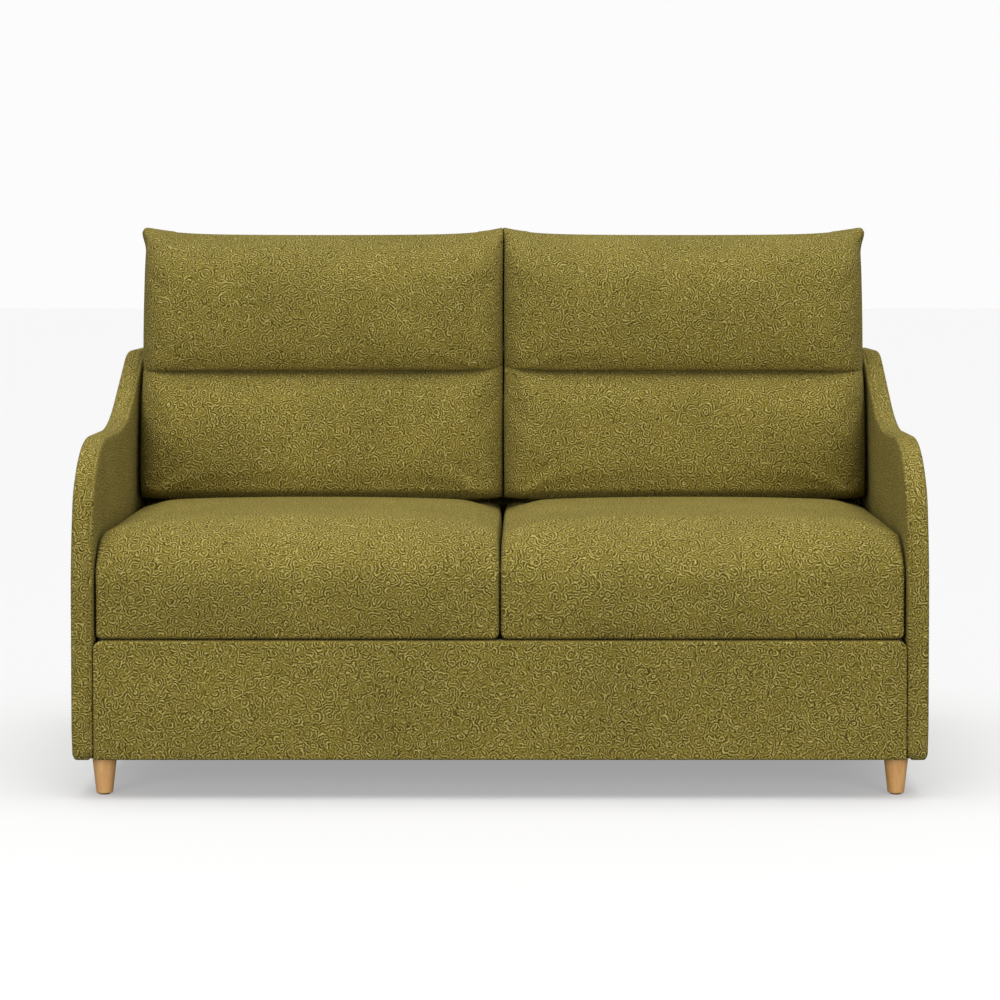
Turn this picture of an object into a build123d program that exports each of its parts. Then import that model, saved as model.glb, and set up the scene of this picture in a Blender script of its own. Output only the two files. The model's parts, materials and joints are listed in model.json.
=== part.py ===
from build123d import *

import math
import os

# Two-seat sofa with thin shaped arms, loose seat and back cushions and short turned legs.
# Millimetres, +Z up, front towards -Y. The origin is on the floor under the middle of the sofa.
# Side outlines are drawn in the YZ plane and front outlines in the XZ plane.

# Whole sofa
WIDTH = 1500.0
DEPTH = 900.0
FRONT = -DEPTH / 2
REAR = DEPTH / 2
CLOTH = 2.5  # upholstery fabric with its lining
GAP = 0.5  # slack between a filling and the cavity it sits in
SLACK = 0.3  # slack between curved layers of an arm

# Arms
ARM_THICK = 38.0
ARM_INNER = WIDTH / 2 - ARM_THICK
ARM_BOTTOM = 68.0
ARM_LOW = 626.0  # flat front part
ARM_HIGH = 761.0  # flat rear part
ARM_EDGE = 9.0  # edge rounding
PANEL_THICK = 18.0
PANEL_INNER = ARM_INNER + 10.0
PANEL_INSET = 10.0  # panel outline inside the cover outline

# Base
BASE_BOTTOM = 72.2
TIMBER = 25.0
SIDE_OUTER = 710.0
SIDE_TOP = 264.0
APRON_HALF = 711.0
APRON_BOTTOM = 70.0
APRON_TOP = 278.0
APRON_CORNER = 14.0
APRON_FOAM = 12.5
FRONT_RAIL_BACK = 40.0  # depth of the apron and its rail behind the front plane
SPRING_RAIL_FRONT = 700.0
REAR_RAIL_FRONT = 868.0
TIMBER_BACK = REAR_RAIL_FRONT + TIMBER  # rear face of the timber base
BLOCK_BOTTOM = 71.0
BLOCK_HEIGHT = 32.0
BLOCK_INNER = 635.0
BLOCK_LENGTH = 80.0
DECK_LOW = 267.0
DECK_TOP = 278.2
DECK_CLOTH = 1.2
DECK_END = 655.0

# Legs
LEG_X = 700.0
LEG_SETBACK = 60.0
LEG_TOP = 68.0
LEG_TOP_RADIUS = 22.0
LEG_FOOT_RADIUS = 14.5
GLIDE_HEIGHT = 2.0
PLATE_THICK = 3.0
M8 = 4.0  # radius

# Springs
WIRE = 1.8  # radius
SPRING_LEVEL = 264.0
SPRING_COUNT = 10
SPRING_SWING = 26.0
SPRING_PITCH = 22.0

# Back frame
RAKE = math.radians(11.0)
RAKE_LEVEL = 470.0  # height at which BACK_FACE is measured
BACK_FACE = 697.0  # front face of the upholstered back, behind the front plane
BACK_TOP = 755.0
BACK_FOAM = 10.0
STRAP = 1.5
POST_OUTER = 685.0
POST_THICK = 28.0
BOARD_THICK = 3.0

# Seat cushions
SEAT_BOTTOM = 280.0
SEAT_FRONT = 12.0
SEAT_BACK = 654.0
SEAT_SIDE = 1.5  # half of the gap between the two cushions
SEAT_OUTER = 709.0
SEAT_EDGE = 450.0  # height of the sides
SEAT_BROW = 470.0  # height at which the top would meet the front without its roll
SEAT_CROWN = 489.0
SEAT_CROWN_AT = 250.0  # behind the front plane
SEAT_REST = 464.0  # rear edge of the top, which slopes down under the back cushions
COVER_WALL = 12.0  # fabric and the wadding quilted to it

# Back cushions
PILLOW_BOTTOM = 474.5
PILLOW_FRONT = 500.0
PILLOW_OUTER = 706.0
PILLOW_EAR = 1005.0
PILLOW_SAG = 994.0
CHANNEL_LEVEL = 724.0
CHANNEL_DEPTH = 552.0
PILLOW_CLEAR = 4.0  # in front of the raked back

# Zips
ZIP_TAPE = 1.5
ZIP_RECESS = 6.0
ZIP_BAND = 26.0
ZIP_COIL = 5.0
ZIP_COIL_HIGH = 2.5
SEAT_ZIP_LENGTH = 600.0
PILLOW_ZIP_LENGTH = 560.0
ZIP_LEVEL_SEAT = 366.0
ZIP_LEVEL_PILLOW = 540.0
SLIDER_START = 30.0  # closed end of the zip to the slider's middle

# Fasteners
ARM_BOLT_SPOTS = ((150.0, 170.0), (450.0, 170.0), (810.0, 170.0))
FRAME_BOLT_SPOTS = ((775.0, 225.0), (850.0, 130.0))
TNUT_FLANGE = 11.0
TNUT_BARREL = 5.0


def depth(distance):
    """Y of a point that is this far behind the front plane."""
    return FRONT + distance


def back_plane(height):
    """Distance behind the front plane of the raked back's covered face at a height."""
    return BACK_FACE + (height - RAKE_LEVEL) * math.tan(RAKE)


def inset_corners(corners, radii, inset):
    """Moves every side of a clockwise outline inwards; a hollow corner's radius grows."""
    count = len(corners)
    moved, rounded = [], []
    for i, corner in enumerate(corners):
        here = Vector(*corner)
        arriving = (here - Vector(*corners[i - 1])).normalized()
        leaving = (Vector(*corners[(i + 1) % count]) - here).normalized()
        turn = arriving.cross(leaving).Z
        inward = Vector(arriving.Y, -arriving.X) + Vector(leaving.Y, -leaving.X)
        moved.append(here + inward * (inset / (1 + arriving.dot(leaving))))
        rounded.append(radii[i] + (inset if turn > 0 else -inset) if radii[i] else 0)
    return [(point.X, point.Y) for point in moved], rounded


def side_face(points, radii, inset=0):
    """A face in the YZ plane from (distance behind front, height) corners, each corner rounded."""
    points, radii = inset_corners(points, radii, inset)
    corners = [(depth(t), z) for t, z in points]
    with BuildSketch(Plane.YZ) as sketch:
        with BuildLine():
            FilletPolyline(*corners, radius=radii, close=True)
        make_face()
    return sketch.sketch.face()


def shrunk(face, inset):
    """The face made smaller on all sides by inset, with round corners kept round."""
    return offset(face, amount=-inset).face() if inset else face


def carried(face, way):
    """Carries a face straight along a vector into a solid."""
    return Part() + Solid.extrude(face, Vector(*way))


def across(face, low, high):
    """Carries a face in the YZ plane along X from low to high."""
    return Pos(low, 0, 0) * carried(face, (high - low, 0, 0))


def block(x_low, x_high, t_low, t_high, z_low, z_high):
    """A plain box between distances behind the front plane and heights."""
    size = (x_high - x_low, t_high - t_low, z_high - z_low)
    middle = ((x_low + x_high) / 2, depth((t_low + t_high) / 2), (z_low + z_high) / 2)
    return Pos(*middle) * Box(*size)


def rod_x(x_low, x_high, t, z, radius):
    """A round bar along X."""
    bar = Rot(0, 90, 0) * Cylinder(radius, x_high - x_low)
    return Pos((x_low + x_high) / 2, depth(t), z) * bar


def rod_z(x, t, z_low, z_high, radius):
    """A round bar along Z."""
    return Pos(x, depth(t), (z_low + z_high) / 2) * Cylinder(radius, z_high - z_low)


def mirrored(shape):
    """The same shape on the other side of the sofa."""
    return mirror(shape, about=Plane.YZ)


def both_sides(shape):
    """The shape and its mirror image."""
    return [shape, mirrored(shape)]


def save(name, shapes):
    """Writes one node, from one solid or a list of separate solids."""
    solids = shapes if isinstance(shapes, list) else [shapes]
    parts = [solid for shape in solids for solid in shape.solids()]
    export_step(parts[0] if len(parts) == 1 else Compound(parts), f"parts/{name}.step")


# Arms


def arm_outline(inset):
    """Side outline of an arm: round front shoulder, low flat, rising curve, high flat."""
    corners = [
        (0, ARM_BOTTOM),
        (0, 422),
        (29, 539),
        (116, ARM_LOW),
        (438, ARM_LOW),
        (696, ARM_HIGH),
        (DEPTH, ARM_HIGH),
        (DEPTH, ARM_BOTTOM),
    ]
    return side_face(corners, [15, 640, 112, 190, 400, 120, 20, 12], inset)


def arm_solid(inset):
    """The arm's rounded outer body, made smaller on all sides by inset."""
    outline = arm_outline(inset)
    body = across(outline, ARM_INNER + inset, WIDTH / 2 - inset)
    rims = body.faces().filter_by(Axis.X)
    edges = rims[0].edges() + rims[-1].edges()
    return fillet(edges, ARM_EDGE - inset)


def arm_panel():
    """Right-hand timber panel with its bolt holes."""
    outline = arm_outline(PANEL_INSET)
    panel = across(outline, PANEL_INNER, PANEL_INNER + PANEL_THICK)
    for t, z in ARM_BOLT_SPOTS:
        panel -= rod_x(PANEL_INNER - 1, PANEL_INNER + PANEL_THICK + 1, t, z, TNUT_BARREL)
    return panel


def arm_foam():
    """Right-hand foam wrap around the panel, open for the bolts and the T-nut flanges."""
    outline = arm_outline(PANEL_INSET - SLACK)
    panel_outer = PANEL_INNER + PANEL_THICK
    foam = arm_solid(CLOTH + SLACK) - across(outline, PANEL_INNER - SLACK, panel_outer + SLACK)
    for t, z in ARM_BOLT_SPOTS:
        foam -= rod_x(ARM_INNER, PANEL_INNER + 1, t, z, TNUT_BARREL)
        foam -= rod_x(panel_outer - 1, panel_outer + 1.2, t, z, TNUT_FLANGE)
    return foam


def arm_cover():
    """Right-hand fabric cover, with a hole on its inner side for each bolt."""
    cover = arm_solid(0) - arm_solid(CLOTH)
    for t, z in ARM_BOLT_SPOTS:
        cover -= rod_x(ARM_INNER - 1, ARM_INNER + CLOTH + 1, t, z, TNUT_BARREL)
    return cover


def bolt_inner(t):
    """X of the timber face that an arm bolt's washer bears on."""
    return POST_OUTER - POST_THICK if t > SPRING_RAIL_FRONT else SIDE_OUTER - TIMBER


def arm_bolts():
    """Hexagon bolts from inside the base through the side rail into each arm panel."""
    bolts = []
    for t, z in ARM_BOLT_SPOTS:
        seat = bolt_inner(t) - 1.6
        head = Pos(seat, depth(t), z) * (Rot(0, -90, 0) * extrude(RegularPolygon(6.5, 6), 5.3))
        bolts += both_sides(head + rod_x(seat, PANEL_INNER + 16, t, z, M8))
    return bolts


def arm_washers():
    """A washer under each arm bolt's head."""
    washers = []
    for t, z in ARM_BOLT_SPOTS:
        seat = bolt_inner(t)
        ring = rod_x(seat - 1.6, seat, t, z, 12) - rod_x(seat - 2, seat + 1, t, z, M8 + 0.4)
        washers += both_sides(ring)
    return washers


def t_nut(x_flange, t, z, length):
    """T-nut pressed in from the outer side: flange at x_flange, barrel towards the middle."""
    flange = rod_x(x_flange, x_flange + 1.2, t, z, TNUT_FLANGE)
    barrel = rod_x(x_flange - length, x_flange + 0.6, t, z, TNUT_BARREL)
    return flange + barrel - rod_x(x_flange - length - 1, x_flange + 2, t, z, M8)


def arm_t_nuts():
    """T-nuts in the outer face of each arm panel."""
    outer = PANEL_INNER + PANEL_THICK
    nuts = []
    for t, z in ARM_BOLT_SPOTS:
        nuts += both_sides(t_nut(outer, t, z, 12))
    return nuts


# Apron and base


def apron_face(inset):
    """Front outline of the apron in the XZ plane, rounded at its top corners."""
    half = APRON_HALF - inset
    low, high = APRON_BOTTOM + inset, APRON_TOP - inset
    corners = [(-half, low), (half, low), (half, high), (-half, high)]
    round_top = APRON_CORNER - inset
    with BuildSketch(Plane.XZ) as sketch:
        with BuildLine():
            FilletPolyline(*corners, radius=[4, 4, round_top, round_top], close=True)
        make_face()
    return sketch.sketch.face()


def apron_slab(inset, t_low, t_high):
    """The apron outline carried back from t_low to t_high."""
    return Pos(0, depth(t_low), 0) * carried(apron_face(inset), (0, t_high - t_low, 0))


def apron_cover():
    """Fabric over the front rail: front, top, underside and ends, open at the rear."""
    outer = apron_slab(0, 0, FRONT_RAIL_BACK)
    outer = fillet(outer.faces().sort_by(Axis.Y)[0].edges(), 2.4)
    return outer - apron_slab(CLOTH, CLOTH, FRONT_RAIL_BACK + 1)


def apron_foam():
    """Foam sheet on the front of the front rail."""
    return apron_slab(CLOTH, CLOTH, CLOTH + APRON_FOAM)


def front_rail():
    """Front rail under the apron's foam and cover."""
    return apron_slab(CLOTH, CLOTH + APRON_FOAM, FRONT_RAIL_BACK)


def rear_rail():
    """Rear rail between the two back posts."""
    inner = POST_OUTER - POST_THICK
    return block(-inner, inner, REAR_RAIL_FRONT, TIMBER_BACK, BASE_BOTTOM, SIDE_TOP)


def spring_rail():
    """Cross rail that holds the rear ends of the springs."""
    t_high = SPRING_RAIL_FRONT + TIMBER
    return block(-POST_OUTER, POST_OUTER, SPRING_RAIL_FRONT, t_high, 150, 262)


def block_ends():
    """Front and rear ends of the corner blocks, behind the front plane."""
    front = (FRONT_RAIL_BACK, FRONT_RAIL_BACK + BLOCK_LENGTH)
    rear = (REAR_RAIL_FRONT - BLOCK_LENGTH - 5, REAR_RAIL_FRONT)
    return (front, rear)


def side_rail():
    """Right-hand side rail, notched over the corner blocks and drilled for the bolts."""
    rail = block(SIDE_OUTER - TIMBER, SIDE_OUTER, FRONT_RAIL_BACK, TIMBER_BACK, BASE_BOTTOM, SIDE_TOP)
    for t_low, t_high in block_ends():
        rail -= block(600, 720, t_low - 1, t_high, 60, BLOCK_BOTTOM + BLOCK_HEIGHT)
    for t, z in ARM_BOLT_SPOTS:
        rail -= rod_x(600, 720, t, z, M8 + 0.5)
    for t, z in FRAME_BOLT_SPOTS:
        rail -= rod_x(600, 720, t, z, TNUT_BARREL)
        rail -= rod_x(SIDE_OUTER - 1.2, 720, t, z, TNUT_FLANGE)
    return rail


def centre_rail():
    """Middle rail from the front rail to the spring rail."""
    half = TIMBER / 2
    return block(-half, half, FRONT_RAIL_BACK, SPRING_RAIL_FRONT, BASE_BOTTOM, 240)


def leg_spots():
    """X and distance behind the front plane of each leg, with its name."""
    rear = DEPTH - LEG_SETBACK
    return {
        "front_left": (-LEG_X, LEG_SETBACK),
        "front_right": (LEG_X, LEG_SETBACK),
        "rear_left": (-LEG_X, rear),
        "rear_right": (LEG_X, rear),
    }


def corner_blocks():
    """A hardwood block in each corner, which carries a leg."""
    blocks = []
    for t_low, t_high in block_ends():
        top = BLOCK_BOTTOM + BLOCK_HEIGHT
        wood = block(BLOCK_INNER, SIDE_OUTER, t_low, t_high, BLOCK_BOTTOM, top)
        for x, t in leg_spots().values():
            if x > 0 and t_low < t < t_high:
                wood -= rod_z(x, t, 60, 96, 7.5)
                for screw in plate_screw_spots(x, t):
                    wood -= rod_z(*screw, 60, 96, 2.0)
        blocks += both_sides(wood)
    return blocks


def plate_screw_spots(x, t):
    """The four screw positions of the right-hand leg plate at x, t."""
    return [(x - 44, t - 14), (x - 44, t + 14), (x - 27, t - 14), (x - 27, t + 14)]


def leg_plates():
    """Steel leg plates with a threaded boss, screwed under the corner blocks."""
    plates = []
    for x, t in leg_spots().values():
        if x < 0:
            continue
        t_low = max(t - 24, FRONT_RAIL_BACK + 1)
        t_high = min(t + 24, REAR_RAIL_FRONT - 1)
        plate = block(x - 54, x + 9.5, t_low, t_high, LEG_TOP, BLOCK_BOTTOM)
        plate += rod_z(x, t, BLOCK_BOTTOM - 1, BLOCK_BOTTOM + 10, 7)
        plate -= rod_z(x, t, 60, 90, M8)
        for spot in plate_screw_spots(x, t):
            plate -= rod_z(*spot, 60, 80, 2.0)
        plates += both_sides(plate)
    return plates


def leg_plate_screws():
    """Pan-head screws that hold the leg plates."""
    screws = []
    for x, t in leg_spots().values():
        if x < 0:
            continue
        for sx, st in plate_screw_spots(x, t):
            head = rod_z(sx, st, LEG_TOP - 2.2, LEG_TOP, 3.6)
            screws += both_sides(head + rod_z(sx, st, LEG_TOP - 1, 94, 2.0))
    return screws


def leg(x, t):
    """Turned leg, tapered to the floor, with a rounded foot and a hole for its bolt."""
    profile = [(0, GLIDE_HEIGHT), (LEG_FOOT_RADIUS, GLIDE_HEIGHT), (LEG_TOP_RADIUS, LEG_TOP)]
    with BuildSketch(Plane.XZ) as sketch:
        with BuildLine():
            FilletPolyline(*profile, (0, LEG_TOP), radius=[0, 3, 0.8, 0], close=True)
        make_face()
    body = revolve(sketch.sketch.face(), Axis.Z)
    body -= Pos(0, 0, 54) * Cylinder(M8, 30)
    body -= Pos(0, 0, 4) * Cylinder(1, 20)
    return Pos(x, depth(t), 0) * body


def leg_bolts():
    """Hanger bolts that join each leg to its plate."""
    return [rod_z(x, t, 42, BLOCK_BOTTOM + 12, M8) for x, t in leg_spots().values()]


def leg_glides():
    """Nailed glides under the legs."""
    glides = []
    for x, t in leg_spots().values():
        disc = rod_z(x, t, 0, GLIDE_HEIGHT, 10)
        disc = fillet(disc.edges().sort_by(Axis.Z)[0], 0.8)
        glides.append(disc + rod_z(x, t, 1, 12, 1))
    return glides


# Seat deck


def spring_lanes():
    """X of each spring, evenly spaced in each half of the seat."""
    per_half = SPRING_COUNT // 2
    pitch = 132.0
    first = 66.0 + TIMBER / 2
    lanes = [first + pitch * i for i in range(per_half)]
    return [-x for x in reversed(lanes)] + lanes


def spring_path_points(x):
    """Corners of one zigzag spring, from the front rail's clip to the spring rail's clip."""
    start, end = FRONT_RAIL_BACK + 6, SPRING_RAIL_FRONT - 6
    turns = int((end - start) // SPRING_PITCH)
    pitch = (end - start) / turns
    points = [(x - SPRING_SWING, depth(start), SPRING_LEVEL)]
    for i in range(turns):
        side = SPRING_SWING if i % 2 == 0 else -SPRING_SWING
        points.append((x + side, depth(start + pitch * i), SPRING_LEVEL))
        points.append((x + side, depth(start + pitch * (i + 1)), SPRING_LEVEL))
    points.append((x - side, depth(end), SPRING_LEVEL))
    return points


def seat_springs():
    """Zigzag springs of round wire."""
    springs = []
    for x in spring_lanes():
        path = FilletPolyline(*spring_path_points(x), radius=8.0)
        ring = Plane(origin=path @ 0, z_dir=path % 0) * Circle(WIRE)
        springs.append(sweep(ring, path=path))
    return springs


def spring_clips():
    """Folded steel clips at both ends of each spring."""
    clips = []
    for x in spring_lanes():
        for wall, way in ((FRONT_RAIL_BACK, 1), (SPRING_RAIL_FRONT, -1)):
            t_low, t_high = sorted((wall, wall + way * 10))
            body = block(x - 12, x + 12, t_low, t_high, SPRING_LEVEL - 6, SPRING_LEVEL + 2.9)
            slot = sorted((wall + way * 1.5, wall + way * 11))
            body -= block(x - 13, x + 13, *slot, SPRING_LEVEL - 2.3, SPRING_LEVEL + 1.9)
            clips.append(body)
    return clips


def deck_pad():
    """Felt insulator on the springs."""
    top = DECK_TOP - DECK_CLOTH
    return block(-708, 708, FRONT_RAIL_BACK + 1, DECK_END, DECK_LOW, top)


def deck_cover():
    """Platform cloth over the felt."""
    return block(-708, 708, FRONT_RAIL_BACK + 1, DECK_END, DECK_TOP - DECK_CLOTH, DECK_TOP)


def dust_cover():
    """Thin cloth under the base, cut out round the corner blocks."""
    cloth = block(-709, 709, FRONT_RAIL_BACK + 0.5, TIMBER_BACK, BLOCK_BOTTOM, BASE_BOTTOM)
    for t_low, t_high in block_ends():
        hole = block(BLOCK_INNER - 0.5, 720, t_low - 1, t_high + 1, 60, 90)
        cloth = cloth - hole - mirrored(hole)
    return cloth


# Back frame


def raked_bar(z_low, z_high, behind, thick, x_low, x_high):
    """A bar that lies along the raked back, a given distance behind the covered face."""
    corners = [
        (back_plane(z_low) + behind, z_low),
        (back_plane(z_high) + behind, z_high),
        (back_plane(z_high) + behind + thick, z_high),
        (back_plane(z_low) + behind + thick, z_low),
    ]
    return across(side_face(corners, [0, 0, 0, 0]), x_low, x_high)


def back_post():
    """Right-hand post: upright in the base, raked above it."""
    behind = CLOTH + BACK_FOAM + 0.5
    low = BLOCK_BOTTOM + BLOCK_HEIGHT
    toe = SPRING_RAIL_FRONT + TIMBER + 3
    corners = [
        (toe, low),
        (toe, 281),
        (back_plane(281) + behind, 281),
        (back_plane(752) + behind, 752),
        (TIMBER_BACK, 752),
        (TIMBER_BACK, low),
    ]
    post = across(side_face(corners, [0] * 6), POST_OUTER - POST_THICK, POST_OUTER)
    for t, z in ARM_BOLT_SPOTS + FRAME_BOLT_SPOTS:
        post -= rod_x(600, 700, t, z, M8 + 0.5)
    return post


def centre_post():
    """Middle post behind the webbing and the rails."""
    behind = CLOTH + BACK_FOAM + STRAP + 0.5 + TIMBER
    front = SPRING_RAIL_FRONT + TIMBER + 3
    bend = RAKE_LEVEL + (front - BACK_FACE - behind) / math.tan(RAKE)
    corners = [
        (front, 150),
        (front, bend),
        (back_plane(739) + behind, 739),
        (REAR_RAIL_FRONT, 739),
        (REAR_RAIL_FRONT, 150),
    ]
    return across(side_face(corners, [0] * 5), -POST_THICK / 2, POST_THICK / 2)


def back_rail(z_low, z_high):
    """A raked cross rail between the posts."""
    inner = POST_OUTER - POST_THICK
    behind = CLOTH + BACK_FOAM + STRAP + 0.5
    return raked_bar(z_low, z_high, behind, TIMBER, -inner, inner)


def back_top_board():
    """Flat board that closes the top of the back frame."""
    inner = POST_OUTER - POST_THICK
    t_low = back_plane(752) + CLOTH + BACK_FOAM + STRAP + 1 + TIMBER
    return block(-inner, inner, t_low, TIMBER_BACK, 740, 752)


def back_webbing():
    """Elastic straps from the bottom rail to the top rail."""
    straps = []
    for x in (90, 250, 410, 570):
        behind = CLOTH + BACK_FOAM + 0.25
        straps += both_sides(raked_bar(300, 745, behind, STRAP, x - 30, x + 30))
    return straps


def back_foam():
    """Foam sheet over the front of the back frame."""
    return raked_bar(282, 741, CLOTH, BACK_FOAM, -708, 708)


def back_shell(inset, z_low):
    """Side outline of the back with its cover, made smaller by inset."""
    top = BACK_TOP - inset
    corners = [
        (back_plane(z_low) + inset, z_low),
        (back_plane(top) + inset, top),
        (DEPTH - inset, top),
        (DEPTH - inset, z_low),
    ]
    return side_face(corners, [0, 12 - inset, 8 - inset, 0])


def inner_back_cover():
    """Fabric up the front of the back, over its top and just round its rear edge."""
    shell = across(back_shell(0, 279), -APRON_HALF, APRON_HALF)
    shell -= across(back_shell(CLOTH, 270), -800, 800)
    return shell - block(-800, 800, 890, 910, 200, 742)


def outer_back_cover():
    """Flat fabric panel that closes the back."""
    return block(-709, 709, DEPTH - CLOTH, DEPTH, BLOCK_BOTTOM, 741.5)


def back_board():
    """Hardboard under the outer back cover."""
    return block(-706, 706, TIMBER_BACK + 0.8, TIMBER_BACK + 0.8 + BOARD_THICK, 76, 740)


def frame_bolts():
    """Bolts through each post into the T-nuts of the side rail."""
    bolts = []
    for t, z in FRAME_BOLT_SPOTS:
        seat = POST_OUTER - POST_THICK
        head = Pos(seat, depth(t), z) * (Rot(0, -90, 0) * extrude(RegularPolygon(6.5, 6), 5.3))
        bolts += both_sides(head + rod_x(seat - 1, SIDE_OUTER - 2, t, z, M8))
    return bolts


def frame_t_nuts():
    """T-nuts in the outer face of the side rails for the post bolts."""
    nuts = []
    for t, z in FRAME_BOLT_SPOTS:
        nuts += both_sides(t_nut(SIDE_OUTER - 1.2, t, z, 12))
    return nuts


# Zips, made at the outer face of a cushion's rear wall, with depth measured into the wall


def zip_strip(length):
    """Zip tape with its closed coil, in the XY plane: X along the zip, -Y out of the wall."""
    tape = Pos(0, ZIP_RECESS + ZIP_TAPE / 2, 0) * Box(length, ZIP_TAPE, ZIP_BAND)
    coil_depth = ZIP_RECESS - ZIP_COIL_HIGH / 2
    coil = Pos(0, coil_depth, 0) * Box(length - 8, ZIP_COIL_HIGH, ZIP_COIL)
    return tape + coil


def zip_slider():
    """Slider that straddles the coil, with a flat pull."""
    body = Pos(0, 3.1, 0) * Box(12, 5.0, 10)
    body = fillet(body.edges().filter_by(Axis.Y), 2)
    tunnel = ZIP_COIL_HIGH + 0.5
    body -= Pos(0, ZIP_RECESS - tunnel / 2, 0) * Box(14, tunnel, ZIP_COIL + 0.9)
    pull = Pos(12, 1.3, 0) * Box(22, 1.2, 6)
    return body + fillet(pull.edges().filter_by(Axis.Y), 1.5)


def zip_slot(length):
    """Space for the zip: a shallow recess with a narrower slot through the wall behind it."""
    recess_depth = ZIP_RECESS + ZIP_TAPE
    recess = Pos(0, recess_depth / 2 - 10, 0) * Box(length, recess_depth + 20, ZIP_BAND)
    slot = Pos(0, 12, 0) * Box(length - 10, 24, 12)
    return recess + slot


def on_wall(shape, x, t, z, lean):
    """Puts a zip shape on a rear wall that leans back by an angle."""
    turned = Rot(lean, 0, 0) * (Rot(0, 0, 180) * shape)
    return Pos(x, depth(t), z) * turned


# Seat cushions


def seat_solid(inset):
    """Crowned seat cushion on the right: side outline crossed with front outline."""
    corners = [
        (SEAT_FRONT, SEAT_BOTTOM),
        (SEAT_FRONT, SEAT_BROW),
        (SEAT_CROWN_AT, SEAT_CROWN),
        (SEAT_BACK, SEAT_REST),
        (SEAT_BACK, SEAT_BOTTOM),
    ]
    side = side_face(corners, [8, 75, 700, 15, 8])
    middle = (SEAT_SIDE + SEAT_OUTER) / 2
    with BuildSketch(Plane.XZ) as sketch:
        with BuildLine():
            ThreePointArc((SEAT_SIDE, SEAT_EDGE), (middle, SEAT_CROWN), (SEAT_OUTER, SEAT_EDGE))
            Polyline(
                (SEAT_OUTER, SEAT_EDGE),
                (SEAT_OUTER, SEAT_BOTTOM),
                (SEAT_SIDE, SEAT_BOTTOM),
                (SEAT_SIDE, SEAT_EDGE),
            )
        make_face()
        fillet(sketch.vertices().group_by(Axis.Y)[-1], 24)
        fillet(sketch.vertices().group_by(Axis.Y)[0], 8)
    front = sketch.sketch.face()
    body = across(shrunk(side, inset), SEAT_SIDE - 5, SEAT_OUTER + 5)
    return body & (Pos(0, FRONT, 0) * carried(shrunk(front, inset), (0, DEPTH, 0)))


def seat_parts():
    """Cover, core, zip and slider of the right-hand seat cushion."""
    middle = (SEAT_SIDE + SEAT_OUTER) / 2
    cover = seat_solid(0) - seat_solid(COVER_WALL)
    place = (middle, SEAT_BACK, ZIP_LEVEL_SEAT, 0)
    return {
        "cover": cover - on_wall(zip_slot(SEAT_ZIP_LENGTH), *place),
        "core": seat_solid(COVER_WALL + GAP + 4),
        "zip": on_wall(zip_strip(SEAT_ZIP_LENGTH), *place),
    }, on_wall(zip_slider(), middle - SEAT_ZIP_LENGTH / 2 + SLIDER_START, *place[1:])


# Back cushions


def pillow_back(height):
    """Distance behind the front plane of the back cushion's rear face at a height."""
    return back_plane(height) - PILLOW_CLEAR


def lower_outline():
    """Side outline of the lower chamber, up to the sewn channel."""
    corners = [
        (PILLOW_FRONT, PILLOW_BOTTOM),
        (514, 690),
        (CHANNEL_DEPTH, CHANNEL_LEVEL),
        (pillow_back(CHANNEL_LEVEL), CHANNEL_LEVEL),
        (pillow_back(PILLOW_BOTTOM), PILLOW_BOTTOM),
    ]
    return corners


def upper_outline():
    """Side outline of the upper chamber, from the sewn channel to the top."""
    top = PILLOW_EAR + 4
    corners = [
        (CHANNEL_DEPTH, CHANNEL_LEVEL),
        (540, 752),
        (604, top),
        (pillow_back(top), top),
        (pillow_back(CHANNEL_LEVEL), CHANNEL_LEVEL),
    ]
    return corners


def pillow_front(inset):
    """Front outline in the XZ plane: straight sides and a top that sags between the ears."""
    middle = (SEAT_SIDE + PILLOW_OUTER) / 2
    with BuildSketch(Plane.XZ) as sketch:
        with BuildLine():
            ThreePointArc(
                (SEAT_SIDE, PILLOW_EAR), (middle, PILLOW_SAG), (PILLOW_OUTER, PILLOW_EAR)
            )
            Polyline(
                (PILLOW_OUTER, PILLOW_EAR),
                (PILLOW_OUTER, PILLOW_BOTTOM),
                (SEAT_SIDE, PILLOW_BOTTOM),
                (SEAT_SIDE, PILLOW_EAR),
            )
        make_face()
        fillet(sketch.vertices(), 8)
    return shrunk(sketch.sketch.face(), inset)


def pillow_body(side, inset):
    """Crosses a side outline with the front outline of the right-hand back cushion."""
    body = across(side, SEAT_SIDE - 5, PILLOW_OUTER + 5)
    outline = pillow_front(inset)
    return body & (Pos(0, FRONT, 0) * carried(outline, (0, DEPTH, 0)))


def pillow_parts():
    """Cover, two cores, zip and slider of the right-hand back cushion."""
    lower = side_face(lower_outline(), [18, 45, 0, 0, 10])
    upper = side_face(upper_outline(), [0, 40, 70, 60, 0])
    cover = pillow_body(lower, 0) + pillow_body(upper, 0)
    for chamber in (lower, upper):
        cover -= pillow_body(shrunk(chamber, COVER_WALL), COVER_WALL)
    core_inset = COVER_WALL + GAP + 4
    middle = (SEAT_SIDE + PILLOW_OUTER) / 2
    wall = pillow_back(ZIP_LEVEL_PILLOW)
    lean = -math.degrees(RAKE)
    place = (middle, wall, ZIP_LEVEL_PILLOW, lean)
    return {
        "cover": cover - on_wall(zip_slot(PILLOW_ZIP_LENGTH), *place),
        "lower_core": pillow_body(shrunk(lower, core_inset), core_inset),
        "upper_core": pillow_body(shrunk(upper, core_inset), core_inset),
        "zip": on_wall(zip_strip(PILLOW_ZIP_LENGTH), *place),
    }, on_wall(zip_slider(), middle - PILLOW_ZIP_LENGTH / 2 + SLIDER_START, *place[1:])


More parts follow.
